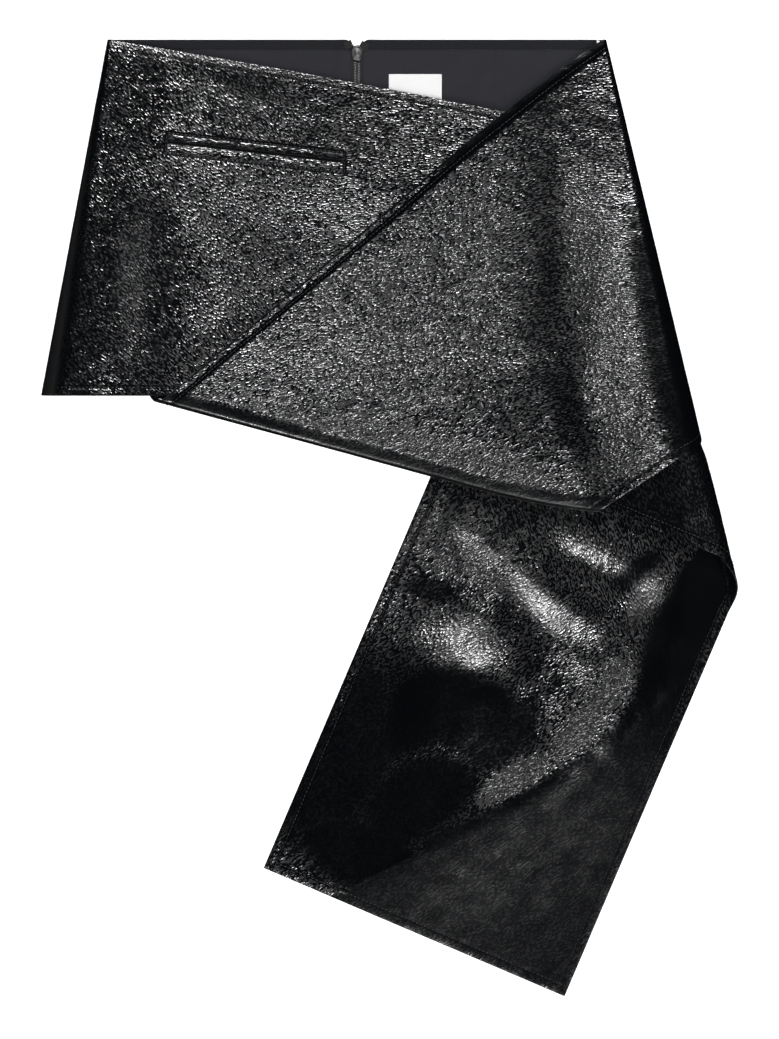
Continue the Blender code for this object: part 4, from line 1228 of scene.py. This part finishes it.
# the scarf's tail: it lies out below the hem, rolls over at the right and folds back as a flap
tail = {
    "corner": (-97.5, -272.8), "wide": 254.7, "lean": 23.1, "endY": 104.0, "foldFrom": 0.60,
    "rollClimb": 44.0, "flapHeading": 157.4, "flapHidden": 35.0, "flapLeast": 12.0,
    "flapHeight": (9.5, 28.0), "flapEase": 45.0,
    "wrapCorner": (167.7, 9.0), "wrapTip": (243.4, 61.4),
    # fall, side and radius of the roll at the right
    "roll": [(230.0, 218.8, 12.4), (276.9, 231.7, 14.0), (312.0, 241.6, 13.4), (325.0, 246.4, 12.6),
             (347.1, 252.6, 11.6), (374.4, 259.4, 10.2), (402.5, 266.0, 9.0), (424.3, 271.4, 9.2),
             (446.2, 273.8, 9.4), (470.0, 275.5, 9.4)],
    # x, y, height, half length, half width, angle
    "swell": (150.0, -150.0, 2.0, 95.0, 44.0, 55.0),
    "ripples": [(0.09, 25.0, 7), (0.04, 10.0, 8)],
    "stitch": 7.4,
    "seam": [(0.0, -0.2), (1.2, 0.05), (3.8, 0.1), (6.2, 0.0), (7.4, -0.15), (8.8, 0.0), (13.0, 0.0)],
    "creases": [
        # x, y, length, width, angle, height
        (20.0, -170.0, 160.0, 26.0, 45.0, 0.5),
        (-20.0, -60.0, 90.0, 20.0, 68.0, 0.7),
        (40.0, -60.0, 70.0, 16.0, 60.0, -0.5),
    ],
    # the same, steep towards the waist: two widths
    "folds": [
        (160.0, -41.0, 105.0, (27.0, 80.0), -28.0, 5.9),
        (130.0, -100.0, 120.0, (53.0, 155.0), -26.0, 9.6),
        (52.0, -128.0, 106.0, (57.0, 153.0), 2.5, 9.2),
        (62.0, -36.0, 46.0, (60.0, 195.0), 50.0, 4.0),
        (34.0, -102.0, 120.0, (34.0, 80.0), 12.0, 4.2),
        (208.0, -81.0, 67.0, (60.0, 80.0), -60.0, 6.4),
        (191.0, -131.0, 50.0, (60.0, 126.0), -44.0, 4.4),
    ],
    # the last fold mark: above it the cloth is crushed, below it smooth and dark
    "mark": [(233.0, -38.0), (204.0, -96.0), (197.0, -137.0), (164.0, -178.0), (102.0, -219.0),
             (32.0, -256.0)],
    "ridge": {"high": 5.4, "inner": 28.0, "outer": 60.0, "right": 222.0, "fade": 60.0},
    "flow": 160.0,  # over which distance the crinkle turns
    "smooth": [
        (30.0, -148.0, 140.0, 74.0, 35.0, 0.82),
        (84.0, -166.0, 96.0, 68.0, 40.0, 0.78),
        (62.0, -156.0, 80.0, 60.0, 50.0, 0.8),
        (-40.0, -185.0, 210.0, 130.0, 66.0, 0.78),
        (20.0, -220.0, 150.0, 80.0, 30.0, 0.8),
        (-24.0, -262.0, 130.0, 70.0, -23.0, 0.9),
        (120.0, -120.0, 66.0, 50.0, -40.0, 0.45),
        (34.0, -56.0, 60.0, 26.0, -10.0, 0.6),
        (49.0, 2.0, 44.0, 18.0, 60.0, 0.55),
        (92.0, -8.0, 46.0, 14.0, 30.0, 0.5),
        (194.0, -40.0, 62.0, 22.0, 35.0, 0.75),
        (158.0, -74.0, 50.0, 18.0, -50.0, 0.4),
        (122.0, -68.0, 84.0, 36.0, -38.0, 0.28),
        (62.0, -97.0, 60.0, 46.0, -6.0, 0.2),
        (158.0, -26.0, 84.0, 34.0, -35.0, 0.12),
        (70.0, -152.0, 80.0, 64.0, 20.0, 0.96),
        (199.0, -64.0, 56.0, 26.0, 60.0, 0.4),
    ],
    "crisp": [
        (172.0, -134.0, 70.0, 34.0, 60.0, 0.7),
        (146.0, -168.0, 66.0, 30.0, 46.0, 0.8),
        (98.0, -204.0, 74.0, 30.0, 30.0, 0.9),
        (60.0, -20.0, 120.0, 60.0, -20.0, 0.4),
    ],
    # where the gloss is cloudy: x, y, length, width, angle, amount
    "cloudy": [
        (156.0, -25.0, 92.0, 30.0, -36.0, 1.0),
        (118.0, -66.0, 82.0, 30.0, -42.0, 1.6),
        (63.0, -98.0, 56.0, 46.0, -10.0, 1.2),
        (200.0, -62.0, 64.0, 26.0, 64.0, 1.6),
        (170.0, -134.0, 60.0, 26.0, 62.0, 1.6),
        (146.0, -167.0, 60.0, 26.0, 48.0, 2.2),
        (98.0, -203.0, 66.0, 26.0, 30.0, 3.0),
        (58.0, -22.0, 130.0, 66.0, -24.0, 0.8),
    ],
    # where the gloss is worn off: top and bottom of the change, amount
    "worn": (-120.0, -230.0, 1.0),
    "polish": 0.6,  # how much the pressed places shine more
    "rest": 0.35, "foldsEnd": (240.0, 30.0), "tuckEnd": (5.0, 20.0),
    # grain below the mark, from a height downwards, and at the hems
    "plainGrain": (0.02, 0.16, -95.0, 70.0), "hemGrain": (0.25, 0.55, -190.0, 60.0), "hemWide": 6.0,
    "flapGrain": (0.4, 1.0, 10.0), "stitchDip": (0.95, 1.3),
    # cells: length and size of each run
    "plainCells": ((13.0, 1.0), (140.0, 2.7)), "foldedCells": ((89.0, 2.7), (13.0, 1.0)),
    "edgeRun": 14.0, "underCells": (396.0, 2.9), "rollCells": (50.0, 2.2), "flapCells": (75.0, 2.4),
}


def tailHeight(x, y):
    cx, cy, high, halfLength, halfWidth, angle = tail["swell"]
    a, b = turned(x - cx, y - cy, angle)
    a, b = a / halfLength, b / halfWidth
    return high * np.maximum(0.0, 1.0 - a * a - b * b) ** 2


def tailRoll(y):
    fall = body["waistY"] - y
    return along(tail["roll"], fall, 1), along(tail["roll"], fall, 2)


def tailPoint(a, b):
    up = heading(90.0 - tail["lean"])
    across = np.array([up[1], -up[0]])
    return np.array(tail["corner"]) + across * (a * tail["wide"]) + np.multiply.outer(b, up)


def tailReach(a):
    # length at share a of the width, to the roll or to the plain end
    up = heading(90.0 - tail["lean"])
    low, high = 0.0, (tail["endY"] - tailPoint(a, 0.0)[1]) / up[1]
    if a < tail["foldFrom"] - 1e-9:
        return high
    for _ in range(30):
        mid = 0.5 * (low + high)
        x, y = tailPoint(a, mid)
        side, roll = tailRoll(y)
        low, high = (mid, high) if x < side - roll else (low, mid)
    return low


def tailLine(a, edgeRun, shares):
    underShares, rollShares, flapShares = shares
    reach = tailReach(a)
    lengths = np.concatenate([edgeRun, edgeRun[-1] + (reach - edgeRun[-1]) * underShares[1:]])
    plan = tailPoint(a, lengths)
    rows = [np.column_stack([plan, tailHeight(plan[:, 0], plan[:, 1])])]
    if a < tail["foldFrom"] - 1e-9:
        empty = np.full((len(rollShares) + len(flapShares), 3), np.nan)
        return np.concatenate(rows + [empty])
    y = tailPoint(a, reach)[1] + tail["rollClimb"] * rollShares
    side, roll = tailRoll(y)
    angle = math.pi * (rollShares - 0.5)
    rows.append(np.column_stack([side - roll + roll * np.cos(angle), y, roll * (1.0 + np.sin(angle))]))
    top = rows[-1][-1]
    start, end = np.array(tail["wrapCorner"]), np.array(tail["wrapTip"])
    edge = unit(end - start)
    inward = np.array([-edge[1], edge[0]])
    course = heading(tail["flapHeading"])
    run = max(tail["flapLeast"], ((start - top[:2]) @ inward + tail["flapHidden"]) / (course @ inward))
    plan = top[:2] + np.outer(run * flapShares, course)
    share = ((plan - start) @ (end - start)) / ((end - start) @ (end - start))
    level = lerp(*tail["flapHeight"], share)
    z = lerp(top[2], level, smooth(run * flapShares / tail["flapEase"]))
    rows.append(np.column_stack([plan, z]))
    return np.concatenate(rows)


def sideOfLine(x, y, line):
    # signed distance in plan to a chain of points, positive to its left
    best, sign = np.full(x.shape, 1e9), np.ones(x.shape)
    for (ax, ay), (bx, by) in zip(line[:-1], line[1:]):
        dx, dy = bx - ax, by - ay
        t = np.clip(((x - ax) * dx + (y - ay) * dy) / (dx * dx + dy * dy), 0.0, 1.0)
        d = np.hypot(x - ax - t * dx, y - ay - t * dy)
        near = d < best
        best = np.where(near, d, best)
        sign = np.where(near, np.sign(dx * (y - ay) - dy * (x - ax)), sign)
    return best * sign


def curved(points, count=60):
    # smooth curve through a few points
    points = np.asarray(points, float)
    keys = np.concatenate([[0.0], np.cumsum(np.linalg.norm(np.diff(points, axis=0), axis=1))])
    table = np.column_stack([keys, points])
    reads = np.linspace(0.0, keys[-1], count)
    return np.stack([along(table, reads, 1), along(table, reads, 2)], -1)


def tailRelief(x, y, mark):
    # folds and creases over the swell, and the ridge along the last fold mark
    ridge = tail["ridge"]
    reach = np.where(mark < 0.0, ridge["inner"], ridge["outer"])
    endX, fade = tail["foldsEnd"]
    relief = ridges(x, y, tail["creases"]) + ridges(x, y, tail["folds"]) * smooth((endX - x) / fade)
    return relief + ridge["high"] * valley(mark, reach) * smooth((ridge["right"] - x) / ridge["fade"])


def tailShades(x, y, mark, toEdge, flat):
    pressed, nearMark = patches(x, y, tail["smooth"]), smooth((-mark + 2.0) / 14.0)
    crushed = nearMark * (1.0 - pressed) * (1.0 + patches(x, y, tail["crisp"]))
    least, more, top, run = tail["plainGrain"]
    plain = least + more * smooth((top - y) / run)
    low, high, level, run = tail["hemGrain"]
    plain = np.maximum(plain, lerp(low, high, smooth((y - level) / run)) * (toEdge < tail["hemWide"]))
    onFlap, start, run = tail["flapGrain"]
    crushed = np.where(flat > 0.0, crushed, onFlap * smooth((toEdge - start) / run))
    dip, reach = tail["stitchDip"]
    grain = np.maximum(plain, crushed) * (1.0 - dip * valley(toEdge - tail["stitch"], reach))
    wornFrom, wornTo, amount = tail["worn"]
    worn = amount * smooth((wornFrom - y) / (wornFrom - wornTo)) * smooth(mark / 10.0) * flat
    worn = worn + patches(x, y, tail["cloudy"]) * flat * nearMark
    worn = worn - tail["polish"] * np.clip(pressed - 0.5, 0.0, 0.5) / 0.5 * flat * (mark < 10.0)
    return {"grain": grain, "worn": worn, "flow": smooth((x + y) / tail["flow"])}


def makeTail():
    # the fold's own share is a line too, where the roll and flap begin
    fold = tail["foldFrom"]
    plain = steps(*tail["plainCells"]) * fold
    folded = fold + steps(*tail["foldedCells"])[1:] * (1.0 - fold)
    edgeRun = np.arange(0.0, tail["edgeRun"], 1.0)
    shares = (steps(tail["underCells"]), steps(tail["rollCells"])[1:], steps(tail["flapCells"])[1:])
    base = np.array([tailLine(a, edgeRun, shares) for a in np.concatenate([plain, folded])])
    away = gridNormals(base)
    away *= -np.sign(away[10, 40, 2])  # outer face: down where it lies, up on the flap
    u, v = arcLengths(base, 0), arcLengths(base, 1)
    under = len(edgeRun) + len(shares[0]) - 1
    last = base[-1][~np.isnan(base[-1, :, 0])]
    toPlain, toFolded = distanceTo(base, base[0, :under:3]), distanceTo(base, last[::2])
    toEdge = np.minimum(np.minimum(toPlain, toFolded), v)
    soft = ripples(u, v, tail["ripples"])
    x, y = np.nan_to_num(base[..., 0]), np.nan_to_num(base[..., 1])
    mark = sideOfLine(x, y, curved(tail["mark"]))
    flat = (np.arange(base.shape[1]) < under).astype(float)
    tuckFrom, tuckRun = tail["tuckEnd"]
    tuck = smooth((hemY - tuckFrom - base[..., 1]) / tuckRun)  # plain where the back lies on it
    upward = lerp(1.0, -1.0, flat)  # relief is towards the side that shows
    lift = (soft + tail["rest"] + tailRelief(x, y, mark)) * lerp(1.0, tuck, flat)
    lift = np.where(flat > 0.0, np.maximum(lift, 0.0), lift)
    moved = base + away * (lift * upward)[..., None]
    moved[..., 2] = np.maximum(moved[..., 2], 0.0)
    seams = profileAt(toEdge, tail["seam"])[..., None]
    lying = flat[..., None] > 0.0
    face = moved + away * np.where(lying, 0.0, seams)
    back = moved - away * body["wall"] - away * np.where(lying, seams + 0.25, 0.0)
    obj = clothShell("scarfTail", vinylTail, face, back, tailShades(x, y, mark, toEdge, flat))
    settle(obj, "vinyl", "scarf_tail")
    # stitches run on the face that shows: the inner one where the tail lies open
    shown, ups = np.where(lying, back, face), away * upward[..., None]
    paths = [seamPath(shown, ups, distance, axis, fromEnd, tail["stitch"])
             for axis, fromEnd, distance in ((0, False, toPlain), (0, True, toFolded), (1, False, v))]
    thread = sewLine("tailStitches", paths, blackThread)


makeWrap()
print("wrap made")
makeTail()
print("tail made")


studio = {
    "floorGlow": 0.75, "floorHalf": 9.0, "floorZ": -0.0004,
    # softboxes: tilt from straight up, heading, distance, width, length, watts, for gloss or for shade
    "lights": {
        "keySoftbox": (38.0, 80.0, 5.0, 1.4, 0.92, 250.0, True),
        "lowSoftbox": (38.0, -72.0, 5.0, 1.4, 0.92, 202.0, True),
        "overheadFill": (0.0, 0.0, 3.4, 3.4, 3.4, 110.0, False),
    },
    "sky": 0.3,
}


def makeFloor():
    mesh = bpy.data.meshes.new("studioFloor")
    half = studio["floorHalf"]
    corners = ((-1, -1), (1, -1), (1, 1), (-1, 1))
    mesh.from_pydata([(x * half, y * half, studio["floorZ"]) for x, y in corners], [], [(0, 1, 2, 3)])
    mat, tree, shader = newMaterial("paleFloor")
    paper = noiseNode(tree, objectCoords(tree), 40.0, 4.0)
    fill(shader, {"Base Color": (0.9, 0.9, 0.9, 1.0), "Roughness": 0.9, "Specular IOR Level": 0.0,
                  "Emission Color": (1.0, 1.0, 1.0, 1.0), "Emission Strength": studio["floorGlow"],
                  "Normal": bumpNode(tree, paper, 0.0002)})
    mesh.materials.append(mat)
    obj = bpy.data.objects.new("studioFloor", mesh)
    bpy.context.scene.collection.objects.link(obj)
    obj.visible_glossy = False


def makeStudio():
    for name, (tilt, turn, away, wide, long, watts, glossy) in studio["lights"].items():
        light = bpy.data.lights.new(name, "AREA")
        light.shape = "RECTANGLE"
        light.size, light.size_y = wide, long
        light.energy = watts
        obj = bpy.data.objects.new(name, light)
        s, c = math.sin(math.radians(tilt)), math.cos(math.radians(tilt))
        hx, hy = heading(turn)
        obj.location = (hx * s * away, hy * s * away, c * away)
        obj.rotation_euler = (math.radians(tilt), 0.0, math.radians(turn + 90.0))
        obj.visible_camera = False
        obj.visible_glossy, obj.visible_diffuse = glossy, not glossy
        bpy.context.scene.collection.objects.link(obj)
    world = bpy.data.worlds.new("studioDome")
    world.use_nodes = True
    bpy.context.scene.world = world
    back = world.node_tree.nodes["Background"]
    back.inputs["Color"].default_value = (1.0, 1.0, 1.0, 1.0)
    back.inputs["Strength"].default_value = studio["sky"]
    world.cycles_visibility.glossy = False  # the gloss shows the softboxes alone
    bpy.context.scene.view_settings.view_transform = "Standard"


def makeCamera():
    data = bpy.data.cameras.new("photoCamera")
    pixel = photo["mmPerPixel"]
    longSide = photo["high"] * pixel * mm
    data.sensor_width = photo["sensor"]
    data.lens = photo["away"] * photo["sensor"] / longSide
    data.clip_end = photo["clip"]
    obj = bpy.data.objects.new("photoCamera", data)
    obj.location = ((0.5 * photo["wide"] - photo["zeroX"]) * pixel * mm,
                    (photo["zeroY"] - 0.5 * photo["high"]) * pixel * mm, photo["away"])
    bpy.context.scene.collection.objects.link(obj)
    bpy.context.scene.camera = obj


makeFloor()
makeStudio()
makeCamera()
print("studio made")
